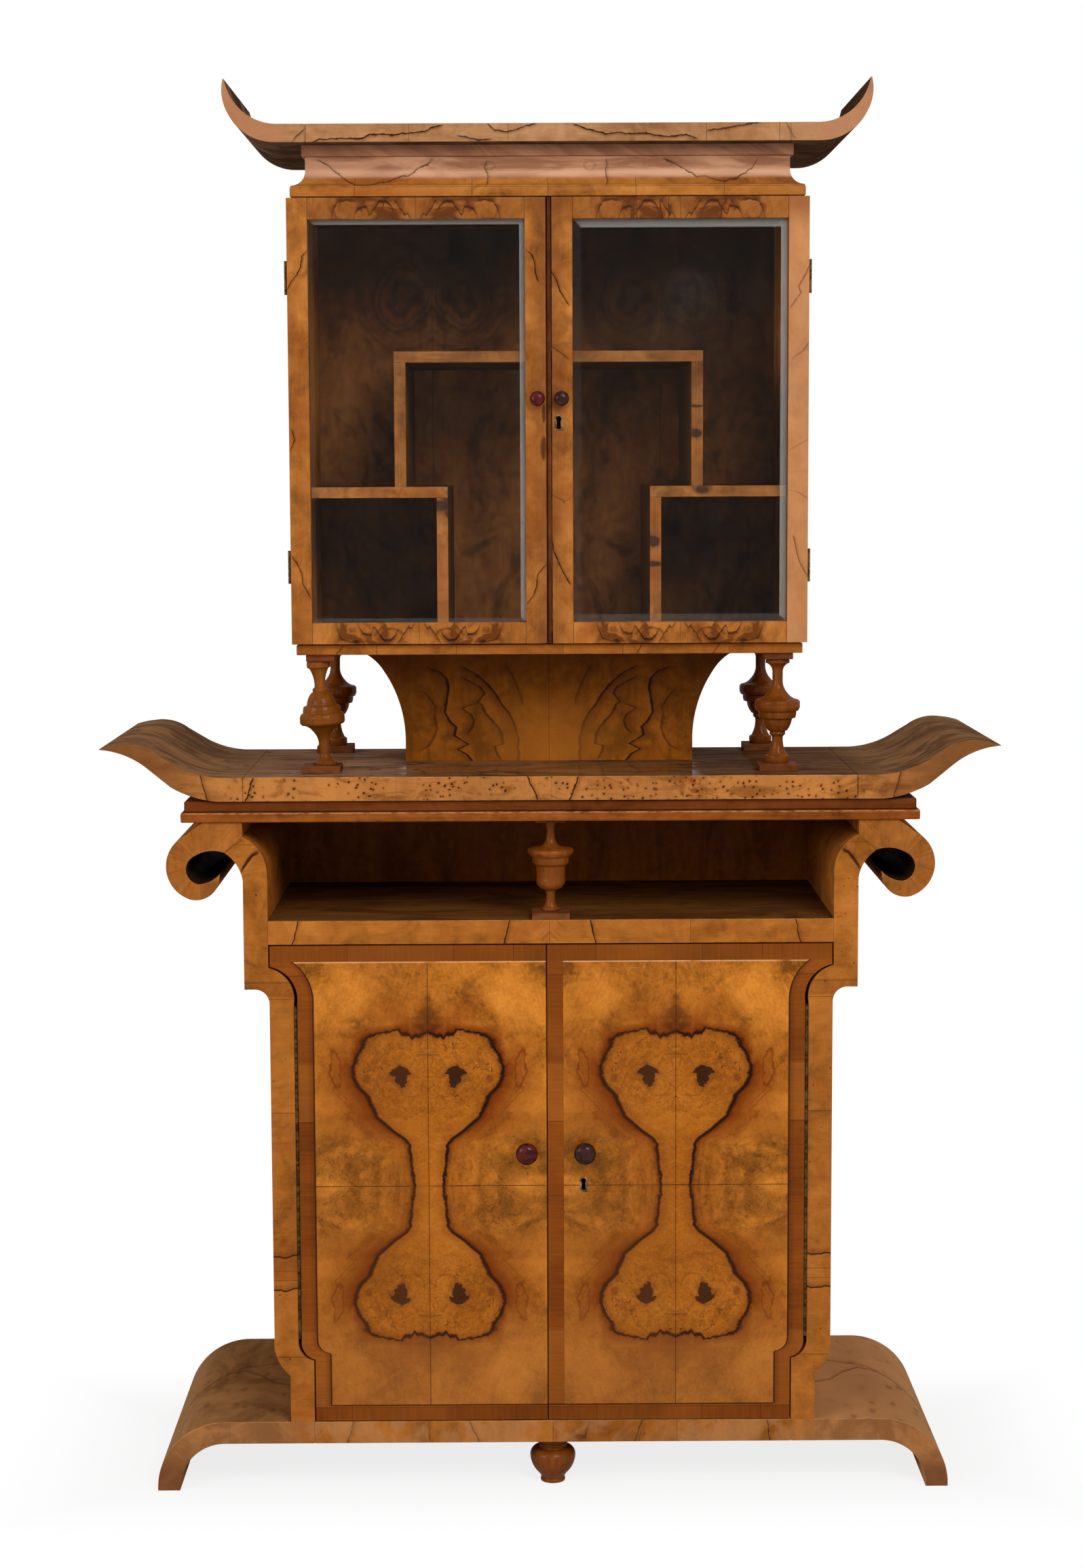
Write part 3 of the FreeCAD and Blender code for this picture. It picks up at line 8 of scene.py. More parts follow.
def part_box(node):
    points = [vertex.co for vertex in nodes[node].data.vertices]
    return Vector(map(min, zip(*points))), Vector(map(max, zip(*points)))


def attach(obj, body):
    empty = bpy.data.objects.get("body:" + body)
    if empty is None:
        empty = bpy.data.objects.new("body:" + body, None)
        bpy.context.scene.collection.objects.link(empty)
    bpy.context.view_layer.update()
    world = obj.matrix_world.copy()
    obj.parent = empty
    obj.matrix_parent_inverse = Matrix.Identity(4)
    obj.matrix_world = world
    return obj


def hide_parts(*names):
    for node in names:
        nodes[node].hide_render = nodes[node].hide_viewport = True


# A walnut cabinet, dressed in the order in which it is put together, from its feet to its roof.
# All lengths are in metres; MM turns them into millimetres. X runs across the front, -Y faces the
# viewer, Z is up.

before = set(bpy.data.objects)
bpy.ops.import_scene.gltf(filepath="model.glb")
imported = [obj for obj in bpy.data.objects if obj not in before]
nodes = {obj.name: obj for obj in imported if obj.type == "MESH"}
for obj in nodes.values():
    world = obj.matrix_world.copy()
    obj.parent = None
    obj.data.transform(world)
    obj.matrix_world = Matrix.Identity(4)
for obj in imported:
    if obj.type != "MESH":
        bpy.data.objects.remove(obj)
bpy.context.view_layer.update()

# Foot board and curled feet: a thick softwood core, sawn to a quarter ring at each end. Its front
# edge is covered with short lengths of honey walnut veneer, the grain running from top to bottom,
# and its upper side with darker, drier veneer.


def sign(operation, swapped=False):
    """Operator for wires: a Math node on the two sides of the sign."""
    return lambda self, other: self.math(operation, *((other, self) if swapped else (self, other)))


class Wire:
    """One socket of a material's nodes. Arithmetic on it adds Math nodes."""

    __add__, __radd__ = sign("ADD"), sign("ADD", True)
    __sub__, __rsub__ = sign("SUBTRACT"), sign("SUBTRACT", True)
    __mul__, __rmul__ = sign("MULTIPLY"), sign("MULTIPLY", True)
    __truediv__ = sign("DIVIDE")

    def __init__(self, tree, socket=None):
        self.tree = tree
        self.socket = socket

    def node(self, kind, settings=None, sockets=None, output=0):
        """Adds a node: first its settings, then the values or links of its sockets."""
        made = self.tree.nodes.new(kind)
        for name, value in (settings or {}).items():
            if name == "stops":
                elements = made.color_ramp.elements
                for element, (position, colour) in zip(elements, (value[0], value[-1])):
                    element.position = position
                    element.color = (*colour, 1)
                for position, colour in value[1:-1]:
                    elements.new(position).color = (*colour, 1)
            elif name == "ramp":
                made.color_ramp.interpolation = value
            else:
                setattr(made, name, value)
        for key, value in (sockets or {}).items():
            if isinstance(value, Wire):
                self.tree.links.new(value.socket, made.inputs[key])
            else:
                made.inputs[key].default_value = value
        return Wire(self.tree, made.outputs[output])

    def math(self, operation, *values):
        """Math node on these values, in order."""
        return self.node("ShaderNodeMath", {"operation": operation}, dict(enumerate(values)))

    def __abs__(self):
        return self.math("ABSOLUTE", self)


def rise(value, low, high):
    """Smooth step from 0 at low to 1 at high; it falls where low is above high."""
    return value.node("ShaderNodeMapRange", {"interpolation_type": "SMOOTHSTEP"},
                      {"Value": value, "From Min": low, "From Max": high})


def blend(share, first, second):
    """Colour that goes from the first to the second with the share."""
    ends = [(*colour, 1.0) if isinstance(colour, tuple) else colour for colour in (first, second)]
    return share.node("ShaderNodeMix", {"data_type": "RGBA"}, {0: share, 6: ends[0], 7: ends[1]}, 2)


def laid(colour, coats):
    """Colour under coats, each a share and a tone, in order; a tone may be made of the colour so far."""
    for share, tone in coats:
        colour = blend(share, colour, tone(colour) if callable(tone) else tone)
    return colour


def toned(value, places, tones, ramp="LINEAR"):
    """Colour that takes these tones at these places of the value."""
    return value.node("ShaderNodeValToRGB", {"stops": list(zip(places, tones)), "ramp": ramp}, {0: value})


def noise(x, y, z, detail=3.0, roughness=0.5, distortion=0.0):
    """Cloud noise around 0.5 at a place a unit apart; x is a wire, y and z are wires or numbers."""
    spot = x.node("ShaderNodeCombineXYZ", {}, {0: x, 1: y, 2: z})
    return x.node("ShaderNodeTexNoise", {}, {
        "Vector": spot, "Scale": 1.0, "Detail": detail, "Roughness": roughness, "Distortion": distortion})


def trace(value, points):
    """Height of the line through these points, read along their first coordinate."""
    keys, heights = zip(*points)
    low, span = min(heights), max(heights) - min(heights)
    reach = keys[-1] - keys[0]
    greys = [((height - low) / span,) * 3 for height in heights]
    return toned((value - keys[0]) / reach, [(key - keys[0]) / reach for key in keys], greys) * span + low


def new_material(name):
    """Empty material, and the three coordinates of a point of its piece, in metres."""
    material = bpy.data.materials.new(name)
    material.use_nodes = True
    spot = Wire(material.node_tree).node("ShaderNodeTexCoord", output="Object")
    return [material] + [spot.node("ShaderNodeSeparateXYZ", {}, {0: spot}, axis) for axis in range(3)]


def shade(material, colour, roughness, height=None, depth=0.0001, coat=None, **constants):
    """Gives the material's shader a colour, a roughness, a height map, a coat and constant values."""
    tree = material.node_tree
    shader = tree.nodes["Principled BSDF"]
    for name, value in constants.items():
        shader.inputs[name.replace("_", " ")].default_value = value
    inputs = {"Base Color": colour, "Roughness": roughness, "Coat Weight": coat}
    if height:
        inputs["Normal"] = height.node("ShaderNodeBump", {}, {"Height": height, "Distance": depth})
    for name, wire in inputs.items():
        if wire:
            tree.links.new(wire.socket, shader.inputs[name])
    return material


MM = 1000
VEIN = (0.02, 0.007, 0.004)
BROWN = (0.09, 0.025, 0.005)
PORE = (0.05, 0.017, 0.005)
PALE = (0.52, 0.27, 0.1)
HONEY = ((0.15, 0.046, 0.006), (0.32, 0.103, 0.015), (0.46, 0.155, 0.027))
# Lays of the grain: which of x, y and z runs along it, across it and through it.
UPRIGHT, SIDEWAYS, INWARD = (2, 0, 1), (0, 2, 1), (1, 0, 2)


def walnut(name, lay, tones=HONEY, seed=0.0, cloud=(6, 14), veins=0.4, vein_scale=(1.8, 9),
           rough=0.36, flush=0.35, paint=None, polish=None, book=False, **constants):
    """Polished walnut veneer.

    Broad clouds, a mottle, a fine figure and fibres set the tone, and some clouds flush red. Thin
    dark veins follow the level line of a slow noise, each with a brown shadow on one side. A book
    lay mirrors the grain about x = 0. paint yields the coats that only this piece shows, and may
    read the plain veneer's colour; polish gives its own thickness of varnish.
    """
    material, x, y, z = new_material(name)
    spot = (abs(x) if book else x, y, z)
    along, across, through = (spot[axis] for axis in lay)
    along = along + seed
    broad = noise(along * cloud[0], across * cloud[1], through * cloud[1], 4, 0.55, 0.8)
    mottle = noise(x * 24 + seed, y * 24, z * 24, 4, 0.62, 1.4)
    fibre = noise(along * 26, across * 420, through * 420, 3, 0.6)
    figure = noise(along * 45, across * 75, through * 75, 4, 0.6, 0.5)
    tone = broad * 1.1 + mottle * 0.8 + fibre * 0.22 + figure * 0.42 - 0.77
    colour = toned(tone, (0.15, 0.5, 0.85), tones)
    if flush:
        hue = noise(along * 5 + 3.1, across * 11, through * 11, 3, 0.5, 0.6)
        colour = blend(rise(hue, 0.5, 0.7) * flush, colour, (0.25, 0.055, 0.008))
    if veins:
        slow, fast = vein_scale
        flow = noise(along * slow, across * fast, through * fast * 0.5, 4, 0.55, 1.2) - 0.5
        gate = noise(along * 3, across * 6 + 7.3, through * 3, 2)
        gate = rise(gate, 0.66 - 0.3 * veins, 0.72 - 0.3 * veins)
        colour = laid(colour, [(rise(flow, 0.07, 0.0) * rise(flow, -0.014, 0.0) * gate * 0.45, BROWN),
                               (rise(abs(flow), 0.012, 0.004) * gate * 0.9, VEIN)])
    pore = rise(noise(along * 120, across * 1400, through * 1400, 1), 0.66, 0.75)
    colour = blend(pore * 0.3, colour, PORE)
    if paint:
        colour = laid(colour, paint(colour, x, y, z))
    wear = broad * 0.22 + figure * 0.12 + (rough - 0.17)
    height = fibre * 0.25 + figure * 0.75 - pore * 0.4
    gloss = {"Specular_IOR_Level": 0.0, "Coat_Weight": 0.045, "Coat_Roughness": 0.25} | constants
    return shade(material, colour, wear, height, coat=polish(x, y, z) if polish else None, **gloss)


def burl_dots(x, z, strength):
    """Round dark buds of burl on a front edge, scattered unevenly, in a warm cloud."""
    wobble = noise(x * 90, z * 90, 0, 2) * 0.5
    spot = x.node("ShaderNodeCombineXYZ", {}, {0: x * 88 + wobble, 1: z * 88 + wobble})
    cell = x.node("ShaderNodeTexVoronoi", {"voronoi_dimensions": "2D"}, {"Vector": spot, "Scale": 1.0})
    size = noise(x * 40, z * 60, 0, 1) * 0.16 + 0.06
    patch = rise(noise(x * 16, z * 22, 0, 2), 0.4, 0.55)
    yield rise(cell, 0.5, 0.1) * patch * (0.35 * strength), (0.2, 0.045, 0.007)
    yield rise(cell - size, 0.03, -0.03) * patch * strength, (0.04, 0.012, 0.005)


def worn_and_highlit_rim(x, y, z, front, strength=0.5):
    """Pale line on the rounded front edges, partly rubbed wear and partly a painted highlight.

    front is the y of the face between them.
    """
    # Painted highlight with some wear: a pale line along the rounded front edge.
    rim = rise(y, front + 0.0001, front + 0.0004) * rise(y, front + 0.0016, front + 0.0009)
    return rim * rise(noise(x * 45, 0, z * 45, 3), 0.35, 0.6) * strength, PALE


def drawn_veins(key, level, lines, half_width=1.5, shadow=6.0, meander=3.0):
    """Dark veins through given points, in millimetres, each with a brown shadow on one side.

    A line is its strength and its points. The vein is where the level meets the line's height at
    that key, wavering by the meander; the shadow lies above it, or below it where it is negative.
    """
    wobble = (noise(key * 0.12, level * 0.12, 0, 3, 0.6) - 0.5) * meander
    width = noise(key * 0.07 + 5.1, level * 0.03, 0, 2) * (half_width * 1.6) + half_width * 0.2
    for strength, points in lines:
        low, high = points[0][0], points[-1][0]
        held = rise(key, low - 4, low + 4) * rise(key, high + 4, high - 4) * strength
        gap = level + wobble - trace(key, points)
        beside = gap * math.copysign(1.0, shadow)
        shaded = rise(beside, half_width * abs(shadow), 0.0) * rise(beside, -half_width, 0.0)
        yield shaded * held * 0.6, BROWN
        yield rise(abs(gap), width, width * 0.35) * held * 0.93, VEIN


def crossings(position, height, veins):
    """Dark veins across a strip: each is its place, its lean and its half width."""
    wobble = (noise(position * 60, height * 60, 0, 2) - 0.5) * 0.008
    for place, lean, half_width in veins:
        gap = position + wobble - height * lean - place
        yield rise(gap, half_width * 6, 0.0) * rise(gap, -half_width, 0.0) * 0.45, BROWN
        yield rise(abs(gap), half_width, half_width * 0.35) * 0.92, VEIN


def joints(position, places, steps=0.12):
    """Fine dark joints between leaves of veneer, which differ a little in tone."""
    span = places[-1] - places[0] + 0.1
    stops = [0.0] + [(place - places[0] + 0.05) / span for place in places]
    greys = [0.5] + [0.5 + 2 * steps * math.sin(2.4 * number + 1.0) for number in range(len(places))]
    level = toned((position - places[0] + 0.05) / span, stops, [(grey,) * 3 for grey in greys], "CONSTANT")
    yield rise(level, 0.5, 1.0) * 0.5, (0.46, 0.16, 0.025)
    yield rise(level, 0.5, 0.0) * 0.5, (0.13, 0.035, 0.006)
    for place in places:
        yield rise(abs(position - place), 0.0007, 0.0002) * 0.7, (0.06, 0.018, 0.006)


def solids_of(mesh):
    """Splits loose triangles into closed shells: a shell ends once every edge has its partner."""
    corners = np.empty(len(mesh.vertices) * 3)
    mesh.vertices.foreach_get("co", corners)
    faces = np.array([list(face.vertices) for face in mesh.polygons])
    rounded = np.round(corners.reshape(-1, 3) * 1e6).astype(np.int64)
    keys, index = np.unique(rounded, axis=0, return_inverse=True)
    faces = index.reshape(-1)[faces]
    open_edges = set()
    start = 0
    for number, (a, b, c) in enumerate(faces.tolist()):
        for edge in ((a, b), (b, c), (c, a)):
            if edge[::-1] in open_edges:
                open_edges.remove(edge[::-1])
            else:
                open_edges.add(edge)
        if not open_edges:
            yield keys / 1e6, faces[start:number + 1]
            start = number + 1
    if start < len(faces):
        yield keys / 1e6, faces[start:]


def finish(name, mesh, material, body):
    """Puts a mesh in its node's place in the scene, under a material and a body."""
    mesh.materials.append(material)
    piece = bpy.data.objects.new(mesh.name, mesh)
    bpy.context.scene.collection.objects.link(piece)
    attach(piece, body)
    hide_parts(name)
    return piece


def softened(name, material, edge=0.001, body="cabinet"):
    """A part's own shape with its flat faces made whole and every sharp edge rounded."""
    whole = bmesh.new()
    for corners, faces in solids_of(nodes[name].data):
        used, faces = np.unique(faces, return_inverse=True)
        shell = bpy.data.meshes.new("shell")
        shell.from_pydata(corners[used].tolist(), [], faces.reshape(-1, 3).tolist())
        part = bmesh.new()
        part.from_mesh(shell)
        bmesh.ops.dissolve_limit(part, angle_limit=0.01, verts=part.verts, edges=part.edges)
        part.to_mesh(shell)
        part.free()
        whole.from_mesh(shell)
        bpy.data.meshes.remove(shell)
    mesh = bpy.data.meshes.new(name + "_dressed")
    whole.to_mesh(mesh)
    whole.free()
    mesh.shade_smooth()
    rounding = finish(name, mesh, material, body).modifiers.new("rounding", "BEVEL")
    rounding.width = edge
    rounding.segments = 3
    rounding.limit_method = "ANGLE"
    rounding.angle_limit = math.radians(30)
    rounding.harden_normals = True


BASE_FRONT = -0.1966
FOOT_MIDDLE = 0.09
FOOT_VEINS = [
    (0.55, [(417, -20), (444, -9), (469, 29), (495, 52), (525, 35), (546, 14), (570, -18), (600, -60)]),
    (0.45, [(440, 95), (471, 79), (500, 66), (525, 41)]),
]


def foot_paint(plain, x, y, z):
    """Joints and dark veins along the edge, browner at the curl, and a dry spotted top.

    The top turns paler towards the right as painted light.
    """
    yield from joints(x, [-0.495, -0.44, -0.365, -0.19, 0.0, 0.19, 0.365, 0.44, 0.495])
    yield from crossings(x, z - FOOT_MIDDLE, [
        (-0.31, 0.3, 0.001), (-0.12, -0.5, 0.0013), (0.13, 0.4, 0.001), (0.33, -0.2, 0.0012)])
    patch = rise(noise(x * 17, 0, z * 17, 4, 0.6, 1.0), 0.4, 0.6)
    yield patch * 0.4, (0.4, 0.2, 0.09)
    yield rise(abs(x), 0.36, 0.42) * 0.6, blend(patch, (0.34, 0.16, 0.065), (0.17, 0.065, 0.022))
    yield rise(z, 0.06, 0.025) * 0.7, (0.12, 0.04, 0.015)
    streak = noise(x * 11, y * 5, z * 11, 5, 0.65, 1.2)
    dry = laid(blend(rise(streak, 0.3, 0.7), (0.13, 0.056, 0.016), (0.28, 0.13, 0.045)), [
        # Painted light: the top grows paler towards the right.
        (rise(x, -0.2, 0.45) * 0.6, (0.54, 0.25, 0.1)),
        (rise(abs(x), 0.53, 0.6) * 0.5, (0.46, 0.24, 0.1)),
        *burl_dots(x * 0.33, y * 0.17, 0.3),
        *drawn_veins(abs(x) * MM, y * MM, FOOT_VEINS, 2.5, 6.0, 6.0)])
    yield rise(y, BASE_FRONT + 0.0004, BASE_FRONT + 0.0014) * 0.95, dry
    yield worn_and_highlit_rim(x, y, z, BASE_FRONT)


def foot_polish(x, y, z):
    """Thin varnish on the edge, almost none left on the top."""
    behind = rise(y, BASE_FRONT + 0.0004, BASE_FRONT + 0.0014)
    return behind * -0.035 + noise(x * 20, y * 20, z * 20, 2) * 0.02 + 0.035


foot_veneer = walnut("foot_veneer", UPRIGHT, seed=1.3, veins=0.1, paint=foot_paint, polish=foot_polish)
for name in ("foot_board", "foot_left", "foot_right"):
    softened(name, foot_veneer, 0.0015)

# Centre foot: a bun foot of solid walnut, turned on a lathe, with fine rings left by the tool. It
# is dowelled into the middle of the foot board.


def arc_line(profile):
    """Profile with its arcs spelled out; a step of four is a point on the arc and its end."""
    line = [np.array(profile[0], float)]
    for step in profile[1:]:
        end = np.array(step[-2:], float)
        if len(step) == 4:
            start, middle = line[-1], np.array(step[:2], float)
            sides = 2 * np.array([middle - start, end - start])
            centre = np.linalg.solve(sides, [middle @ middle - start @ start, end @ end - start @ start])
            angles = [math.atan2(*(spot - centre)[::-1]) for spot in (start, middle, end)]
            first, turn = (angles[1] - angles[0]) % math.tau, (angles[2] - angles[0]) % math.tau
            turn = turn if first <= turn else turn - math.tau
            reach = np.linalg.norm(start - centre)
            for share in np.linspace(0, 1, 15)[1:]:
                angle = angles[0] + turn * share
                line.append(centre + reach * np.array([math.cos(angle), math.sin(angle)]))
        else:
            line.append(end)
    return np.array(line)


def eased(line, reach):
    """Line whose corners are each cut back by a reach and rounded with a middle point."""
    points = [line[0]]
    for before, corner, after in zip(line[:-2], line[1:-1], line[2:]):
        back, ahead = before - corner, after - corner
        one, two = np.linalg.norm(back), np.linalg.norm(ahead)
        cut = min(reach, one * 0.4, two * 0.4)
        start, end = corner + back / one * cut, corner + ahead / two * cut
        points += [start, (start + end + 2 * corner) / 4, end]
    return np.array(points + [line[-1]])


def turned(shares, radius, height, centre, around=96):
    """Turned surface: the profile's distance from the axis, carried once round the axis.

    The shares run from the top down, as shares of the radius and of the height. The two ends close
    in one point each. Returns corners about the centre, with the axis upright, and faces.
    """
    steps = [tuple((0.5 - share) * height if odd % 2 else share * radius for odd, share in enumerate(step))
             for step in shares]
    line = eased(arc_line([(0.0, height / 2)] + steps + [(0.0, -height / 2)]), 0.0007)[1:-1]
    turn = np.arange(around) * math.tau / around
    rings = np.stack([line[:, :1] * np.cos(turn), line[:, :1] * np.sin(turn),
                      np.repeat(line[:, 1:], around, 1)], 2)
    corners = np.vstack([rings.reshape(-1, 3), [[0, 0, height / 2], [0, 0, -height / 2]]])
    row, column = np.meshgrid(np.arange(len(line) - 1), np.arange(around), indexing="ij")
    here, beside = row * around + column, row * around + (column + 1) % around
    faces = np.stack([here, here + around, beside + around, beside], 2).reshape(-1, 4).tolist()
    top, last = len(corners) - 2, (len(line) - 1) * around
    faces += [[top, here, (here + 1) % around] for here in range(around)]
    faces += [[top + 1, last + (here + 1) % around, last + here] for here in range(around)]
    return corners + np.array(centre), faces


def lathe_piece(name, shapes, material, body="cabinet"):
    """Smooth object of several turned surfaces, with its sharper rims kept crisp."""
    corners, faces = np.empty((0, 3)), []
    for more, rings in shapes:
        faces += [[number + len(corners) for number in face] for face in rings]
        corners = np.vstack([corners, more])
    mesh = bpy.data.meshes.new(name + "_turned")
    mesh.from_pydata(corners.tolist(), [], faces)
    mesh.shade_smooth()
    mesh.set_sharp_from_angle(angle=math.radians(50))
    finish(name, mesh, material, body)


def turned_walnut(name, tones, seed):
    """Solid walnut polished on the lathe: rings of the tool, and long grain broken by the curves."""
    material, x, y, z = new_material(name)
    grain = noise(x * 130 + seed, y * 130, z * 9, 4, 0.6, 0.6)
    broad = noise(x * 16, y * 16, z * 12 + seed, 3, 0.5)
    colour = toned(grain * 0.5 + broad * 0.8 - 0.15, (0.2, 0.5, 0.8), tones)
    pore = rise(noise(x * 900, y * 900, z * 60, 1), 0.62, 0.75)
    colour = blend(pore * 0.35, colour, (0.03, 0.01, 0.004))
    ring = noise(z * 1500, 0, 0, 2)
    return shade(material, colour, broad * 0.25 + 0.18, ring * 0.5 + grain * 0.5, 0.00008,
                 Specular_IOR_Level=0.0, Coat_Weight=0.15, Coat_Roughness=0.11)


TURNED_TONES = ((0.07, 0.017, 0.002), (0.175, 0.044, 0.004), (0.28, 0.08, 0.009))
CENTRE_FOOT = [
    (0.71, 0), (0.71, 0.068), (0.61, 0.09), (0.6, 0.15), (0.64, 0.17), (0.64, 0.2), (0.6, 0.22), (0.62, 0.26),
    (0.92, 0.32, 1, 0.42), (0.94, 0.59, 0.66, 0.8), (0.55, 0.87, 0.5, 0.92), (0.54, 0.94), (0.54, 0.99),
    (0.5, 1),
]
foot_wood = turned_walnut("foot_wood", TURNED_TONES, 1.7)
bun = turned(CENTRE_FOOT, radius=0.035, height=0.0735, centre=(0, -0.1566, 0.03675))
lathe_piece("centre_foot", [bun], foot_wood)

# Side panels: thick boards sawn to a stepped outline. Their front edges are veneered in short
# lengths with the grain running across, two of them marked by dark lines near the foot.


def side_paint(plain, x, y, z):
    """Joints up the front edge, two dark lines across it and small worm holes; whole sheets behind it."""
    yield from joints(z, [0.21, 0.33, 0.345, 0.59, 0.765, 0.79, 1.0])
    lean = (noise(x * 40, 0, 0, 2) - 0.5) * 0.02
    for height in (0.315, 0.367):
        gap = z + lean - height
        yield rise(gap, 0.013, 0.0) * rise(gap, -0.002, 0.0) * 0.5, (0.13, 0.035, 0.006)
        yield rise(abs(gap), 0.0017, 0.0006) * 0.92, VEIN
    across, up = abs(x) * MM, z * MM
    yield from drawn_veins(across, up, [(0.95, [(438, 989), (447, 984), (455, 974), (464, 960)])], 5.0, 2.5)
    yield from drawn_veins(across, up, [(0.7, [(461, 1009), (488, 988)])], 0.7, 1.0)
    yield worn_and_highlit_rim(x, y, z, BASE_FRONT)
    yield rise(y, BASE_FRONT + 0.001, BASE_FRONT + 0.0018), plain
    yield rise(noise(x * 190, y * 190, z * 190, 1), 0.755, 0.77) * 0.8, (0.03, 0.01, 0.004)


side_veneer = walnut("side_veneer", SIDEWAYS, seed=2.7, veins=0.1, cloud=(10, 7), paint=side_paint)
for side in ("left", "right"):
    softened(f"side_panel_{side}", side_veneer, 0.0015)

# Scrolls: the board's end, rolled down and round into an open eye. The front edge carries short
# leaves of veneer laid like rays about the eye; the inside of the roll is painted almost black as shade.
SCROLL_EYE = (0.524, 0.972)


def scroll_paint(plain, x, y, z):
    """Rays of veneer about the eye, and painted shade in the unpolished hollow behind the front edge."""
    across, up = abs(x) - SCROLL_EYE[0], z - SCROLL_EYE[1]
    angle = across.math("ARCTAN2", up, across)
    leaf = angle * 1.3
    level = noise(leaf.math("FLOOR", leaf) * 3.7, 0, 0, 0)
    yield rise(level, 0.45, 0.8) * 0.5, (0.44, 0.14, 0.02)
    yield rise(level, 0.5, 0.2) * 0.5, (0.14, 0.035, 0.006)
    yield rise(abs(leaf.math("FRACT", leaf) - 0.5), 0.49, 0.5) * 0.6, (0.07, 0.02, 0.006)
    ray = noise(angle * 9, 0, across * 12, 3, 0.6)
    yield rise(ray, 0.52, 0.72) * 0.5, (0.15, 0.036, 0.006)
    yield worn_and_highlit_rim(x, y, z, BASE_FRONT, 0.4)
    # Painted shade: the hollow behind the front edge is made almost black.
    hollow = rise(across * across + up * up, 0.0016, 0.0012)
    yield rise(y, BASE_FRONT + 0.0011, BASE_FRONT + 0.0046) * hollow * 0.95, (0.016, 0.009, 0.005)


SCROLL_TONES = ((0.14, 0.043, 0.008), (0.28, 0.092, 0.017), (0.4, 0.145, 0.03))
scroll_veneer = walnut("scroll_veneer", UPRIGHT, SCROLL_TONES, 4.1, veins=0.0, paint=scroll_paint,
                       polish=foot_polish)
for side in ("left", "right"):
    softened(f"scroll_{side}", scroll_veneer, 0.0015)

# Back of the base, the niche floor and the loose shelf: plain brown walnut boards with upright
# grain on the back. The niche floor's front edge is a rail of honey veneer, book-matched.
RAIL_MIDDLE = 0.866
RAIL_JOINT = -0.0022
SHADE_TONES = ((0.04, 0.011, 0.002), (0.09, 0.026, 0.004), (0.15, 0.047, 0.008))
BACK_TONES = ((0.11, 0.028, 0.004), (0.22, 0.062, 0.009), (0.31, 0.095, 0.015))
back_wood = walnut("back_wood", UPRIGHT, BACK_TONES, 5.2, (3, 22), veins=0.0, rough=0.5)
softened("base_back", back_wood, 0.0006)
shelf_wood = walnut("shelf_wood", SIDEWAYS, SHADE_TONES, 5.9, (3, 22), veins=0.0, rough=0.5, flush=0.0)
softened("base_shelf", shelf_wood)


def rail_paint(plain, x, y, z):
    """Dark lines across the rail, chevrons at its middle, and a worn dark floor behind it."""
    yield from joints(x, [RAIL_JOINT, 0.21])
    yield from crossings(x, z - RAIL_MIDDLE, [
        (-0.3846, 0.25, 0.0014), (-0.0664, 0.25, 0.0014), (0.0633, -0.22, 0.0014), (0.3717, -0.22, 0.0013)])
    chevron = rise(noise((abs(x - RAIL_JOINT) + z) * 160, 0, z * 20, 2), 0.5, 0.62) * rise(abs(x), 0.03, 0.01)
    yield chevron * 0.4, (0.12, 0.033, 0.006)
    streak = noise(x * 5, y * 13, z * 4, 5, 0.62, 1.3)
    floor = blend(rise(streak, 0.3, 0.7), (0.07, 0.025, 0.007), (0.165, 0.06, 0.012))
    corner = rise(abs(x), 0.33, 0.42) * rise(y, -0.12, -0.19)
    dust = rise(noise(x * 420, y * 420, z * 10, 1), 0.6, 0.7) * corner
    yield rise(y, BASE_FRONT + 0.0006, BASE_FRONT + 0.0021), blend(dust * 0.6, floor, (0.5, 0.3, 0.15))
    yield worn_and_highlit_rim(x, y, z, BASE_FRONT)


rail_veneer = walnut("rail_veneer", SIDEWAYS, seed=6.3, veins=0.05, paint=rail_paint)
softened("niche_shelf", rail_veneer, 0.0012)

# Niche baluster: a small urn of turned walnut between a square plate and a thin cap, glued into
# the middle of the niche.
BALUSTER = [
    (0.27, 0), (0.2, 0.05, 0.19, 0.14), (0.24, 0.22, 0.42, 0.28), (0.97, 0.305), (1, 0.32), (0.99, 0.345),
    (0.86, 0.385), (0.79, 0.395), (0.8, 0.42), (0.77, 0.465), (0.69, 0.485), (0.63, 0.49), (0.61, 0.63),
    (0.52, 0.73, 0.24, 0.765), (0.21, 0.79), (0.2, 0.87, 0.3, 0.955), (0.39, 0.965), (0.4, 0.985), (0.37, 1),
]
urn = turned(BALUSTER, radius=0.035, height=0.136, centre=(0, -0.1681, 0.962))
lathe_piece("niche_baluster", [urn], foot_wood)
PLATE_TONES = ((0.05, 0.016, 0.006), (0.12, 0.036, 0.012), (0.2, 0.066, 0.022))
plate_wood = walnut("plate_wood", SIDEWAYS, PLATE_TONES, 7.1, (8, 30), veins=0.0, rough=0.45)
softened("baluster_plates", plate_wood, 0.0012)

# Mouldings: two plain strips of reddish walnut under the table top, the upper one set back. Long
# use has rounded their edges and knocked out a few chips.
WORN_EDGE = 1.0475
MOULDING_TONES = ((0.085, 0.022, 0.003), (0.205, 0.053, 0.008), (0.3, 0.088, 0.015))


def moulding_paint(plain, x, y, z):
    """Pale worn line along the upper front edge, and painted shade above it, under the table top."""
    # Painted shade under the table top: the strip above the worn edge is darkened.
    yield rise(z, WORN_EDGE, WORN_EDGE + 0.0035) * 0.6, (0.075, 0.017, 0.005)
    worn = rise(abs(z - WORN_EDGE), 0.0016, 0.0006) * rise(noise(x * 70, 0, z * 300, 3), 0.4, 0.55)
    yield worn * 0.5, (0.5, 0.24, 0.09)


moulding_wood = walnut("moulding_wood", SIDEWAYS, MOULDING_TONES, 8.4, (2.5, 40), veins=0.0,
                       paint=moulding_paint)
softened("moulding_lower", moulding_wood, 0.0022)
softened("moulding_upper", moulding_wood, 0.003)

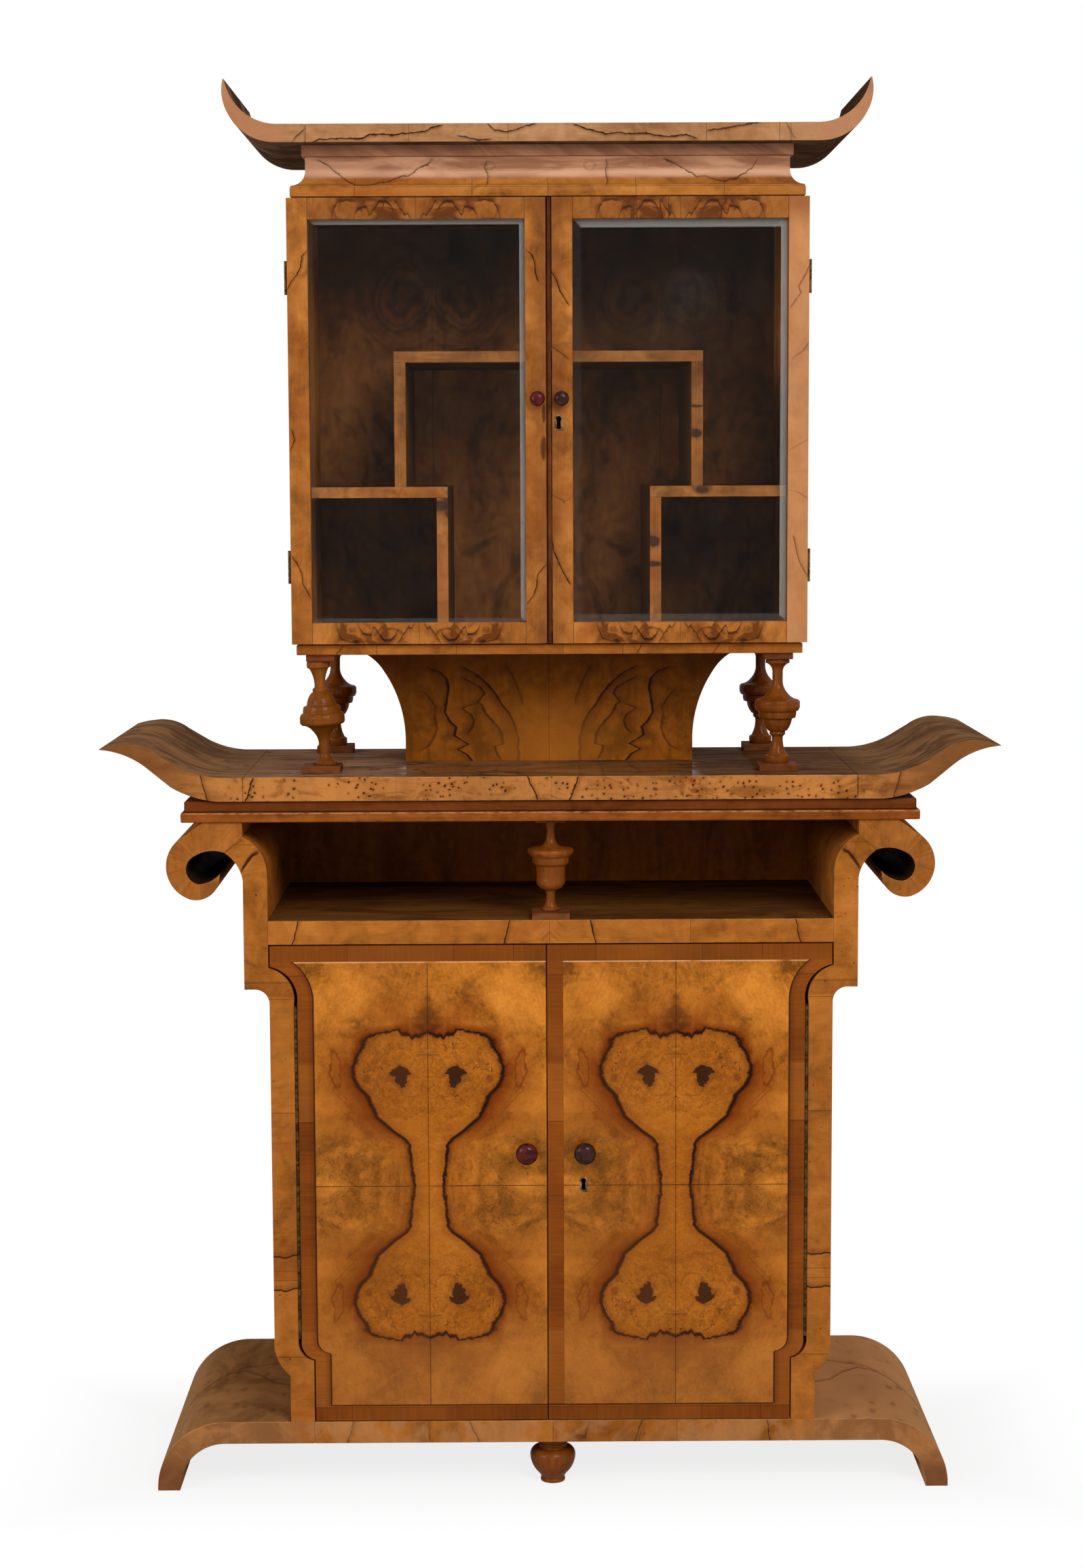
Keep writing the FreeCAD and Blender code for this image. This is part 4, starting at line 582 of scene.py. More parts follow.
# Table top and wings: a thick board that sweeps up at both ends. Its edge is burl veneer full of
# small dark buds; its upper side is darker, high-gloss walnut, worn dull in places.
TABLE_FRONT = -0.2046
TABLE_MIDDLE = 1.084
WING_JOINT = 0.459


def table_paint(plain, x, y, z):
    """Joints and dark lines along the edge; behind it the dark streaky upper side."""
    yield from joints(x, [-WING_JOINT, -0.23, 0.0016, 0.232, WING_JOINT])
    yield rise(abs(abs(x) - WING_JOINT), 0.0013, 0.0006) * 0.9, VEIN
    cloudy = rise(noise(x * 13, 0, z * 30, 5, 0.65, 1.2), 0.47, 0.66)
    yield rise(cloudy, 1.0, 0.0) * 0.35, (0.52, 0.23, 0.075)
    yield cloudy * 0.5, (0.16, 0.06, 0.02)
    yield from crossings(x, z - TABLE_MIDDLE, [
        (-0.449, 0.33, 0.0016), (-0.0268, -0.42, 0.0018), (0.0351, 0.36, 0.0018), (-0.5165, -0.28, 0.0018),
        (0.517, 0.25, 0.0014)])
    blotch = rise(abs(x - 0.21), 0.035, 0.005) * rise(noise(x * 120, 0, z * 120, 2), 0.45, 0.6)
    yield blotch * 0.6, (0.17, 0.03, 0.006)
    yield rise(abs(x), 0.5, 0.465), lambda colour: laid(colour, burl_dots(x, z, 0.95))
    yield rise(abs(x), 0.475, 0.6) * 0.85, (0.16, 0.06, 0.018)
    ridge = rise(abs(x), 0.47, 0.5) * rise(noise(x * 9, 0, z * 40, 3), 0.45, 0.6)
    yield ridge * 0.4, (0.11, 0.033, 0.008)
    yield worn_and_highlit_rim(x, y, z, TABLE_FRONT, 0.7)
    swirl = noise(x * 3.2, y * 9, z * 3, 5, 0.62, 1.8)
    ribbon = rise(abs(noise(x * 2.2, y * 8 + 3.3, z * 2, 4, 0.55, 1.5) - 0.5), 0.03, 0.004)
    wing = noise(x * 6, y * 12, z * 6, 6, 0.68, 1.8)
    # Pale flecks on the top.
    pale_fleck = rise(noise(x * 60, y * 160, z * 60, 2, 0.5, 2.0), 0.68, 0.74)
    yield rise(y, TABLE_FRONT + 0.0008, TABLE_FRONT + 0.0019), laid(
        blend(rise(swirl, 0.33, 0.66), (0.08, 0.029, 0.009), (0.24, 0.105, 0.04)), [
            (rise(x, -0.15, -0.3) * 0.6, (0.33, 0.165, 0.085)),
            (ribbon * 0.7, (0.03, 0.011, 0.004)),
            (rise(x, -0.1, 0.35) * rise(x, 0.62, 0.4) * 0.45, (0.06, 0.022, 0.008)),
            (rise(abs(x), 0.43, 0.52) * 0.85,
             blend(rise(wing, 0.38, 0.6), (0.1, 0.043, 0.013), (0.26, 0.125, 0.046))),
            (pale_fleck * 0.35, (0.4, 0.24, 0.13))])


def table_polish(x, y, z):
    """Varnish still thick on the part of the top before the pedestal, rubbed away elsewhere."""
    limit = abs(x) + (noise(x * 17, y * 17, z * 9, 4, 0.6) - 0.5) * 0.11
    kept = rise(limit, 0.23, 0.185) * rise(y, TABLE_FRONT + 0.0008, TABLE_FRONT + 0.0016)
    return kept * rise(y, 0.03, -0.06) * (noise(x * 7, y * 14, z * 9) * 0.8 + 0.05) + 0.018


table_veneer = walnut("table_veneer", UPRIGHT, seed=9.5, veins=0.0, rough=0.4, paint=table_paint,
                      polish=table_polish, Coat_Roughness=0.08)
for name in ("table_board", "table_wing_left", "table_wing_right"):
    softened(name, table_veneer, 0.0015)

# Lower doors: flush boards inside a band of reddish cross-grained walnut. Each field is one burl
# opened four ways about two fine joints, so that its dark outline closes into a figure like an
# hourglass with two eyes at either end.
DOOR_FRONT = -0.1974
BAND_WIDTH = 0.024
SEAM_HEIGHT = 0.4765
HALF_WIDTHS = [
    (0.0, 22.0), (29, 24.7), (65, 30.4), (72, 35), (87, 55.6), (100, 70), (108, 79.3), (121, 83.4),
    (139, 90.6), (153, 105), (168, 112), (185, 113.5), (199, 108), (214, 98.9), (225, 94), (234, 80),
    (243, 40), (252, 0),
]
FLANK_SLOPES = [
    (0, 1.0), (68, 0.95), (74, 0.6), (104, 0.66), (116, 0.92), (145, 0.7), (165, 0.97), (200, 0.85),
    (240, 0.6),
]
TOP_EDGE = [
    (0.0, 236), (14, 231), (20, 233), (25, 228), (30, 235), (38, 233), (46, 244), (60, 239), (75, 236),
    (90, 229), (97, 224), (110, 206), (118, 180),
]
RED_EDGE = [(0, 1.0), (11, 0.9), (24, 0.6), (42, 0.3), (66, 0.0)]
FIELD_TONES = ((0.16, 0.051, 0.0065), (0.41, 0.131, 0.014), (0.605, 0.212, 0.027))
HEART_TONES = ((0.2, 0.055, 0.005), (0.37, 0.11, 0.009), (0.52, 0.175, 0.022))
BAND_TONES = ((0.105, 0.023, 0.003), (0.195, 0.046, 0.005), (0.285, 0.074, 0.009))
SEAM = (0.045, 0.013, 0.005)


def oval(x, z, place, half_size, wobble=0.0):
    """Grows outwards from an oval's middle to 1 at its rim, for a place and half sizes in millimetres."""
    across = (x - place[0]) / half_size[0]
    up = (z - place[1]) / half_size[1]
    return across * across + up * up + wobble


def field_edge(name):
    """Heights and places of the corners along the shaped edge, read from the door's front face."""
    corners = np.array([corner.co for corner in nodes[name].data.vertices])
    front = np.round(corners[corners[:, 1] < DOOR_FRONT + 0.0001] * 1e4) / 10
    shaped = front[abs(front[:, 0]) > 300]
    return sorted({height: abs(place) for place, _, height in shaped.tolist()}.items())


def door_veneer(name, seam, edge, field_low, field_top):
    """Band and field of one door. The field's figure is drawn in millimetres from the two seams.

    gap is the distance from the dark outline, which a waist and a crown make up: the heart lies
    inside it and the rest of the field outside. edge lists heights and places of the field's
    shaped outer edge, in millimetres. A dark line along the field's edges and a shadow on the band
    beside them are painted shade; the pale line on the field's top edge is scuffs and a painted
    highlight.
    """
    material, x, y, z = new_material(name)
    right, up = (x - seam) * MM, (z - SEAM_HEIGHT) * MM
    side, lift = abs(right), abs(up)
    drift = noise(x * 55, 0, z * 55) - 0.5
    twin_drift = noise(side * 0.05, lift * 0.05, 0, 3, 0.55) - 0.5
    fine = noise(side * 0.2, lift * 0.2, 0, 2) - 0.5
    ragged_side = side + twin_drift * 12 + drift * 4 + fine * 3
    ragged_lift = lift + twin_drift * 7 + drift * 3 + fine * 3
    flank = (ragged_side - trace(ragged_lift, HALF_WIDTHS)) * trace(ragged_lift, FLANK_SLOPES)
    gap = flank.math("SMOOTH_MAX", flank, ragged_lift - trace(ragged_side, TOP_EDGE), 3.0)

    twin_broad = noise(side * 0.011, lift * 0.011, 0, 4, 0.6, 0.8)
    broad = noise(x * 9, 0, z * 9, 4, 0.55, 0.5)
    mottle = noise(side * 0.028, lift * 0.03 + 4.2, 0, 5, 0.65, 1.4)
    speck = noise(x * 75, 0, z * 75, 4, 0.7, 0.6)
    fibre = noise(side * 0.25 + lift * 0.1, lift * 0.03, 0, 3, 0.6)
    grain = noise(x * 210, 0, z * 210, 3, 0.65)
    tone = twin_broad * 0.9 + broad * 0.5 + grain * 0.3 + fibre * 0.2 + speck * 0.45 - 0.68
    waist = rise(side, 50, 105) * rise(lift, 125, 45)
    murk = noise(side * 0.016, lift * 0.02 + 4.2, 0, 4, 0.6, 0.8)
    wisp = abs(noise(x * 26, 6.1, z * 22, 4, 0.6, 1.0) - 0.5)
    flame = rise(side, 60, 130) * rise(lift, 60, 95) * rise(lift, 175, 115)
    contour = noise(gap * 0.09, twin_drift * 2.5, 0, 3, 0.6)
    near = rise(gap, 70, 20)
    red = trace(gap, RED_EDGE) * (rise(lift, 15, 120) * 0.65 + 0.35) * (mottle * 0.5 + 0.75)
    outer = abs(gap - 31 + twin_drift * 16)
    smudge = oval(side, lift, (0, 262), (22, 30), twin_drift * 3.0)
    loop = oval(ragged_side - (lift - 181) * 0.08, ragged_lift, (140, 181), (7.5, 28))
    field = laid(toned(tone, (0.28, 0.5, 0.74), FIELD_TONES), [
        (waist * rise(murk, 0.38, 0.62) * 0.6, (0.125, 0.043, 0.006)),
        (waist * rise(murk, 0.42, 0.52) * rise(wisp, 0.016, 0.003) * 0.5, (0.05, 0.016, 0.004)),
        (flame * 0.45, (0.48, 0.155, 0.02)),
        (rise(contour, 0.5, 0.66) * near * 0.55, (0.48, 0.15, 0.018)),
        (rise(contour, 0.48, 0.34) * near * 0.4, (0.17, 0.046, 0.005)),
        (red, (0.17, 0.03, 0.002)),
        (rise(outer, 2.0, 0.4) * rise(lift, 70, 110) * rise(lift, 225, 180) * 0.4, (0.13, 0.024, 0.003)),
        (rise(smudge, 1.3, 0.1) * (rise(up, -1.0, 1.0) * 0.35 + 0.3), (0.05, 0.014, 0.004)),
        (rise(gap, 10, 0) * (twin_drift * 1.2 + 0.7), (0.045, 0.01, 0.003)),
        (rise(abs(loop - 1.0), 0.5, 0.05) * 0.6, (0.12, 0.02, 0.003)),
        (rise(up, -150, -290) * 0.5, (0.3, 0.105, 0.024))])

    from_eye = oval(side, lift, (41, 172), (1.0, 1.0))
    ripple = noise((from_eye.math("SQRT", from_eye) + twin_drift * 26) * 0.16, 0, 0, 3, 0.6)
    tone = broad * 0.8 + grain * 0.45 + twin_broad * 0.45 + ripple * 0.6 + speck * 0.4 - 0.85
    smoke = rise(noise(side * 0.035, lift * 0.045, 2.2, 4, 0.6, 1.0), 0.48, 0.7)
    swirl = noise(side * 0.035 + 3, lift * 0.05, 0, 2, 0.5, 3.0)
    crack = noise(side * 0.021 + 5, lift * 0.021, 0, 3, 0.6, 0.5)
    cracked = rise(noise(x * 22, 0, z * 22, 1), 0.46, 0.54) * rise(lift, 90, 115)
    knot = oval(ragged_side, ragged_lift, (93, 166), (7, 8))
    shifted = side + twin_drift * 10 - rise(up, 1.0, -1.0) * 3
    bow = (side - 42) * (side - 42) * 0.022
    body = oval(shifted - (lift - 167) * 0.2, lift + drift * 9, (41, 167), (9.5, 15), fine * 1.6)
    brow = oval(shifted, lift + bow + drift * 9, (42, 179), (15, 6), fine * 1.6)
    eye = body.math("SMOOTH_MIN", body, brow, 0.5)
    heart = laid(toned(tone, (0.2, 0.5, 0.85), HEART_TONES), [
        (smoke * rise(lift, 100, 160) * 0.7, (0.15, 0.045, 0.007)),
        (rise(gap, -18, -1) * 0.5, (0.2, 0.052, 0.007)),
        (rise(abs(swirl - 0.5), 0.05, 0.0) * rise(lift, 85, 125) * 0.55, (0.17, 0.05, 0.008)),
        (rise(abs(crack - 0.5), 0.007, 0.002) * cracked * 0.85, (0.06, 0.018, 0.006)),
        (rise(knot, 1.4, 0.1) * 0.7, (0.14, 0.03, 0.006)),
        (rise(eye, 3.2, 1.0) * 0.4, (0.16, 0.04, 0.007)),
        (rise(eye, 1.2, 0.8) * 0.95, (0.028, 0.01, 0.005))])

    thick = trace(twin_drift, [(-0.2, 4.6), (0.2, 2.6)]) + rise(lift, 70, 130) * 1.2
    crossed = lift + (noise(x * 12, 0, 0, 2) - 0.5) * 2
    # Pale line along the field's top edge: scuffs and a painted highlight.
    scuffed_and_highlit = rise(abs(z - field_top + 0.0012), 0.0014, 0.0005) * rise(noise(x * 30, 0, 0, 2), 0.3, 0.5)
    figure = laid(field, [
        (rise(gap, 0.8, -0.8), heart),
        (rise(abs(gap), thick, 0.9) * 0.97, (0.016, 0.005, 0.003)),
        (rise(right, 0.5, -0.5) * 0.12 + rise(up, 0.5, -0.5) * 0.1, (0.17, 0.05, 0.01)),
        (rise(side, 0.9, 0.3) * 0.8, SEAM),
        (rise(crossed, 0.9, 0.3) * 0.8, SEAM),
        (scuffed_and_highlit * 0.75, (0.6, 0.34, 0.15))])

    ends = rise(abs(z - SEAM_HEIGHT), 0.343, 0.347)
    streak = blend(ends, noise(x * 12, 0, z * 240, 3, 0.6), noise(x * 240, 0, z * 12, 3, 0.6))
    tone = noise(x * 9, y * 3, z * 9, 3, 0.5, 0.4) * 0.9 + streak * 0.55 - 0.22
    inside = trace(z * MM, edge) - abs(x) * MM
    from_low = abs(z * MM - field_low * MM) * rise(inside, 0.0, 1.0) + rise(inside, 1.0, 0.0) * 99
    level = rise(z, field_low - 0.0005, field_low) * rise(z, field_top + 0.0005, field_top)
    rim = level.math("MAXIMUM", level * rise(abs(inside), 1.7, 0.6), rise(from_low, 1.7, 0.6))
    front = rise(y, -0.19, -0.195)
    pore = rise(noise(x * 900, y * 500, z * 900, 1), 0.68, 0.76)
    colour = laid(toned(tone, (0.2, 0.5, 0.8), BAND_TONES), [
        (ends * 0.35, (0.12, 0.032, 0.004)),
        *joints(z, [0.13, 0.25, 0.46, 0.575, 0.665, 0.8]),
        *joints(x, [seam - 0.12, seam + 0.04, seam + 0.13], 0.06),
        (rise(y, -0.19, -0.185) * 0.6, (0.08, 0.024, 0.006)),
        (rise(y, DOOR_FRONT + 0.0005, DOOR_FRONT + 0.0003), figure),
        # Painted shade: a shadow on the band beside the raised field, and a dark line along the field's
        # edges.
        (level * rise(inside, -12, 0) * rise(inside, 0.5, -0.5) * front * 0.45, (0.06, 0.015, 0.004)),
        (rim * front * 0.9, (0.025, 0.008, 0.004)),
        (pore * 0.3, PORE)])
    return shade(material, colour, broad * 0.25 + grain * 0.12 + 0.2, grain * 0.5 + speck * 0.5 - pore * 0.3,
                 0.00015, Specular_IOR_Level=0.0, Coat_Weight=0.05, Coat_Roughness=0.25)


for side, seam in (("left", -0.1867), ("right", 0.1878)):
    name = f"lower_door_{side}"
    low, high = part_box(name)
    door_wood = door_veneer(f"door_veneer_{side}", seam, field_edge(name),
                            low[2] + BAND_WIDTH, high[2] - BAND_WIDTH)
    softened(name, door_wood, 0.0005, f"lower_{side}")

# Knobs: small mushrooms turned from dark red stained wood and lacquered. The left ones are a
# clearer red than the right ones.
UPPER_FRONT = -0.1636
KNOB = [
    (0.3, 0), (0.7, 0.07, 0.93, 0.19), (1, 0.34, 0.92, 0.52), (0.8, 0.64, 0.52, 0.7),
    (0.47, 0.76), (0.48, 0.9), (0.56, 0.94), (0.56, 1),
]
STAINS = {
    "left": ((0.03, 0.003, 0.003), (0.1, 0.008, 0.006)),
    "right": ((0.015, 0.004, 0.003), (0.045, 0.012, 0.008)),
}


def lacquer(name, deep, light):
    """Dark stain under glossy lacquer, with faint turning rings and rubbed spots."""
    material, x, y, z = new_material(name)
    cloud = noise(x * 120, y * 60, z * 120)
    ring = noise(y * 1800, 0, 0, 1)
    return shade(material, blend(rise(cloud, 0.35, 0.65), deep, light), cloud * 0.16 + 0.14,
                 ring * 0.4 + cloud * 0.6, Coat_Weight=0.25, Coat_Roughness=0.03, Specular_IOR_Level=0.0)


for row, radius, reach, front, height, places in (
        ("lower", 0.0165, 0.028, DOOR_FRONT, 0.5295, (-0.038, 0.05)),
        ("upper", 0.011, 0.020, UPPER_FRONT, 1.661, (-0.0168, 0.0189))):
    for side, place in zip(STAINS, places):
        name = f"{row}_knob_{side}"
        corners, faces = turned(KNOB, radius, reach, (0, 0, 0), 64)
        corners = corners[:, [0, 2, 1]] * (1, -1, 1) + (place, front - reach / 2, height)
        lathe_piece(name, [(corners, faces)], lacquer(name, *STAINS[side]), f"{row}_{side}")

# Brass and steel: hinges, lock cases, keyhole plates and shelf pins of old brass tarnished in
# clouds, painted black as shade behind the keyhole plates' faces, and plain steel bolts.
OLD_BRASS = ((0.09, 0.045, 0.015), (0.36, 0.22, 0.08), 0.45)


def metal(name, deep, light, rough, face=None):
    """Old metal: tarnish in clouds over a brushed, brighter ground, painted black as shade behind its face.
    """
    material, x, y, z = new_material(name)
    tarnish = noise(x * 130, y * 130, z * 130, 4, 0.6)
    scratch = noise(x * 900, y * 900, z * 90, 2)
    colour = blend(rise(tarnish, 0.35, 0.62), light, deep)
    if face:
        # Painted shade: behind the plate's face, in the keyhole, the metal is made near black.
        colour = blend(rise(y, face + 0.0002, face + 0.0007), colour, (0.004, 0.003, 0.002))
    return shade(material, colour, tarnish * 0.4 + (rough - 0.2), scratch * 0.4 + tarnish * 0.6, 0.00008,
                 Metallic=1.0)


for metal_of, names in (
        (metal("lower_key_plate", *OLD_BRASS, DOOR_FRONT), ("lower_lock",)),
        (metal("upper_key_plate", (0.07, 0.035, 0.012), (0.22, 0.13, 0.05), 0.45, UPPER_FRONT),
         ("upper_lock",)),
        (metal("old_brass", *OLD_BRASS), ("shelf_pins",)),
        (metal("old_steel", (0.12, 0.11, 0.1), (0.42, 0.41, 0.39), 0.35), ("lower_bolt", "upper_bolt")),
        (metal("hinge_brass", (0.03, 0.016, 0.007), (0.12, 0.07, 0.025), 0.55), (
            "piano_hinges", "butt_hinges", "lower_door_left_hinge", "lower_door_right_hinge",
            "upper_door_left_hinges", "upper_door_right_hinges"))):
    for name in names:
        nodes[name].data.materials.clear()
        nodes[name].data.materials.append(metal_of)

# Columns: four balusters of solid walnut between small square plates. The front left one stands
# on its head and leans a little, trimmed flush to its plates.
COLUMN = [
    (0.5, 0), (0.53, 0.015), (0.53, 0.04), (0.32, 0.07, 0.235, 0.135), (0.23, 0.2),
    (0.28, 0.27, 0.47, 0.335), (0.64, 0.37, 0.92, 0.392), (1, 0.41), (1, 0.465), (0.94, 0.495),
    (0.84, 0.505), (0.84, 0.53), (0.8, 0.565), (0.66, 0.575), (0.64, 0.585), (0.58, 0.635, 0.42, 0.69),
    (0.33, 0.7), (0.36, 0.715), (0.33, 0.73), (0.25, 0.745), (0.28, 0.84, 0.43, 0.92), (0.53, 0.93),
    (0.53, 0.975), (0.5, 1),
]
COLUMN_LOW, COLUMN_HIGH = 1.113, 1.271
COLUMN_MIDDLE, COLUMN_HEIGHT = (COLUMN_LOW + COLUMN_HIGH) / 2, COLUMN_HIGH - COLUMN_LOW
COLUMN_RADIUS, COLUMN_SIDE = 0.034, 0.345
FRONT_ROW, BACK_ROW = -0.1266, 0.1874
LEAN = math.radians(3.2)
LIGHT_TONES = ((0.08, 0.02, 0.002), (0.175, 0.047, 0.004), (0.29, 0.088, 0.009))
light_column = turned_walnut("light_column_wood", LIGHT_TONES, 3.1)
dark_column = turned_walnut("dark_column_wood", TURNED_TONES, 4.6)
corners, faces = turned(COLUMN, COLUMN_RADIUS, COLUMN_HEIGHT + 0.003, (0, 0, 0))
corners = corners @ np.array(Matrix.Rotation(math.pi - LEAN, 3, "Y")).T
corners += (-COLUMN_SIDE, FRONT_ROW, COLUMN_MIDDLE)
corners[:, 2] = np.clip(corners[:, 2], COLUMN_LOW, COLUMN_HIGH)
lathe_piece("column_front_left", [(corners, faces)], light_column)
for name, places in (("column_front_right", [(COLUMN_SIDE, FRONT_ROW)]),
                     ("columns_back", [(-COLUMN_SIDE, BACK_ROW), (COLUMN_SIDE, BACK_ROW)])):
    upright = [turned(COLUMN, COLUMN_RADIUS, COLUMN_HEIGHT, (*place, COLUMN_MIDDLE)) for place in places]
    lathe_piece(name, upright, dark_column)
softened("column_plates", plate_wood, 0.0012)

# Pedestal: a hollow box whose sides flare out under the case. Its front is one veneer opened like
# a book about the middle, crossed by long black veins that mirror each other.
PEDESTAL_VEINS = [
    (1.0, [(1100, 119.2), (1112, 129), (1120, 142.7), (1128, 126.4), (1142, 148.3), (1155, 145.8),
           (1164, 155.2), (1178, 163), (1191, 161.5), (1216, 157.4), (1231, 159.9), (1242, 170.8),
           (1249, 189.5)]),
    (1.0, [(1100, 48.8), (1113, 47.3), (1125, 49.5), (1138, 47.4), (1147, 51.5), (1163, 55.3),
           (1178, 63.1), (1191, 74.1), (1207, 83.5), (1222, 96), (1239, 114.7), (1250, 136.6)]),
    (0.8, [(1103, 75.4), (1116, 83.3), (1125, 84.9), (1128, 72.4), (1144, 74), (1155, 80.2), (1166, 89.6),
           (1178, 100.6), (1191, 105.3), (1194, 111.5), (1208, 100.7), (1219, 108.5), (1234, 136.5)]),
    (0.7, [(1145, 128.6), (1153, 121.5), (1164, 117.1), (1175, 122.4), (1184, 136.5), (1188, 128.7),
           (1193, 111.5)]),
    (0.5, [(1118, 203.6), (1125, 189.5), (1137, 181.7), (1153, 175.5), (1172, 179.5), (1188, 177.7),
           (1200, 186.4), (1212, 195.8)]),
    (0.45, [(1191, 41.3), (1204, 43.6), (1213, 47.6), (1226, 52.4), (1236, 57.1), (1254, 68)]),
]


def pedestal_paint(plain, x, y, z):
    """The drawn veins and a joint at the middle.

    Painted light makes the lower middle paler; painted shade darkens the top under the case and the sides.
    """
    side = abs(x) * MM
    smoke = rise(noise(side * 0.02, 0, z * 16, 4, 0.6, 1.2), 0.48, 0.66) * rise(side, 35, 80)
    yield smoke * 0.5, (0.09, 0.03, 0.004)
    yield from drawn_veins(z * MM, side, PEDESTAL_VEINS, 3.0, 8.0)
    # Painted light: paler towards the lower middle.
    yield rise(z, 1.24, 1.12) * rise(side, 130, 20) * 0.5, (0.4, 0.135, 0.018)
    # Painted shade under the case and towards the sides.
    yield rise(z, 1.21, 1.27) * 0.5 + rise(side, 160, 300) * 0.3, (0.05, 0.013, 0.002)
    yield rise(abs(x), 0.0007, 0.0002) * 0.7, (0.05, 0.014, 0.005)


PEDESTAL_TONES = ((0.12, 0.035, 0.003), (0.25, 0.074, 0.006), (0.37, 0.113, 0.011))
pedestal_veneer = walnut("pedestal_veneer", UPRIGHT, PEDESTAL_TONES, 15.5, (5, 9), veins=0.0,
                         paint=pedestal_paint, book=True)
softened("pedestal_front", pedestal_veneer)
softened("pedestal_cheeks", walnut("cheek_wood", INWARD, PEDESTAL_TONES, 16.5, veins=0.1))
softened("pedestal_back", back_wood)

# Upper case: plinth, floor, sides, top and back. Only the plinth's edge and the sides are veneered
# to be seen; inside, the back carries a dark book-matched swirl.
PLINTH_FRONT = -0.1536
PLINTH_MIDDLE = 1.289
SWIRL_JOINT = 0.184


def plinth_paint(plain, x, y, z):
    """Short leaves along the plinth's edge, crossed by a few slanting veins."""
    yield from joints(x, [-0.26, -0.14, 0.02, 0.11, 0.27], 0.08)
    yield from crossings(x, z - PLINTH_MIDDLE, [
        (-0.315, 0.6, 0.0008), (0.135, 0.7, 0.0009), (0.25, 0.6, 0.0007)])
    yield worn_and_highlit_rim(x, y, z, PLINTH_FRONT, 0.4)


PLINTH_TONES = ((0.14, 0.04, 0.006), (0.29, 0.088, 0.013), (0.4, 0.13, 0.02))
plinth_veneer = walnut("plinth_veneer", SIDEWAYS, PLINTH_TONES, 17.1, veins=0.1, paint=plinth_paint)
softened("case_plinth", plinth_veneer, 0.0015)
softened("case_sides", walnut("case_veneer", UPRIGHT, seed=17.5, veins=0.05))


def back_paint(plain, x, y, z):
    """Two dark swirls in each half of the inner face, mirrored about a joint, under smoky clouds.

    Painted shade lies under the side shelves, and the upper right is darker.
    """
    side, height = abs(abs(x) - SWIRL_JOINT) * MM, z * MM
    drift = noise(side * 0.02, 0, height * 0.014) - 0.5
    reach = oval(side, height, (47, 1832), (44, 52), drift * 1.6)
    ring = noise(reach.math("SQRT", abs(reach)) * 3.4, 0, 0, 2)
    yield rise(ring, 0.4, 0.62) * rise(reach, 4.5, 1.5) * 0.5, (0.018, 0.011, 0.009)
    yield rise(z, 1.76, 1.9) * 0.65, (0.022, 0.015, 0.012)
    ripple = noise(side * 0.014, 0, height * 0.009, 4, 0.6, 2.0)
    yield rise(ripple, 0.5, 0.7) * 0.5, (0.02, 0.01, 0.006)
    yield rise(side, 0.8, 0.2) * 0.6, (0.02, 0.008, 0.004)
    # Painted shade under the side shelves; the upper right is darkened too.
    shelf_shade = rise(abs(x), 0.15, 0.18) * rise(z, 1.5, 1.45) * 0.4
    gloom = rise(x, -0.03, 0.03) * rise(z, 1.6, 1.75) * 0.5
    yield shelf_shade.math("MAXIMUM", shelf_shade, gloom), (0.012, 0.008, 0.006)
    yield rise(y, 0.2185, 0.22), plain


CASE_TONES = ((0.056, 0.019, 0.007), (0.15, 0.05, 0.014), (0.24, 0.085, 0.022))
swirl_wood = walnut("swirl_wood", UPRIGHT, CASE_TONES, 18.5, (3, 8), veins=0.0, rough=0.5, flush=0.0,
                    paint=back_paint)
lining_wood = walnut("lining_wood", SIDEWAYS, CASE_TONES, 18.9, (4, 20), veins=0.0, rough=0.5, flush=0.0)
for name, wood in (("case_back", swirl_wood), ("case_floor", lining_wood), ("case_top", lining_wood)):
    softened(name, wood, 0.0008)

# Shelves in the case: a shelf on each side on an upright, and a bridge between them. Their front
# edges carry light veneer; the boards themselves are dark.
SHELF_FRONT = -0.1332
SHELF_KNOTS = [
    ((220, 1610), (9, 7)), ((157, 1449), (9, 9)), ((157, 1415), (12, 4)), ((-163, 1503), (12, 8)),
    ((230, 1526), (10, 6)), ((219, 1650), (12, 2)),
]


def edge_paint(plain, x, y, z):
    """Dark knots in the light front edge, and the dark board behind it."""
    wobble = (noise(x * 200, 0, z * 200, 2) - 0.5) * 1.6
    for place, half_size in SHELF_KNOTS:
        knot = oval(x * MM, z * MM, place, half_size, wobble)
        yield rise(knot, 3.5, 0.9) * 0.5, (0.08, 0.028, 0.012)
        yield rise(knot, 1.3, 0.6) * 0.9, (0.025, 0.012, 0.008)
    yield rise(noise(x * 55, 0, z * 55, 4, 0.65, 1.6), 0.5, 0.66) * 0.4, (0.07, 0.022, 0.007)
    yield rise(z, 1.615, 1.635) * 0.3, (0.06, 0.022, 0.009)
    yield rise(y, SHELF_FRONT + 0.0004, SHELF_FRONT + 0.0012), (0.07, 0.025, 0.008)


EDGE_TONES = ((0.075, 0.024, 0.005), (0.185, 0.066, 0.016), (0.31, 0.122, 0.034))
shelf_edge = walnut("shelf_edge", SIDEWAYS, EDGE_TONES, 21.1, (12, 16), veins=0.3, paint=edge_paint)
upright_edge = walnut("upright_edge", UPRIGHT, EDGE_TONES, 22.3, (12, 16), veins=0.3, paint=edge_paint)
for name, wood in (("side_shelves", shelf_edge), ("bridge_shelf", shelf_edge),
                   ("case_uprights", upright_edge), ("bridge_uprights", upright_edge)):
    softened(name, wood, 0.0008)

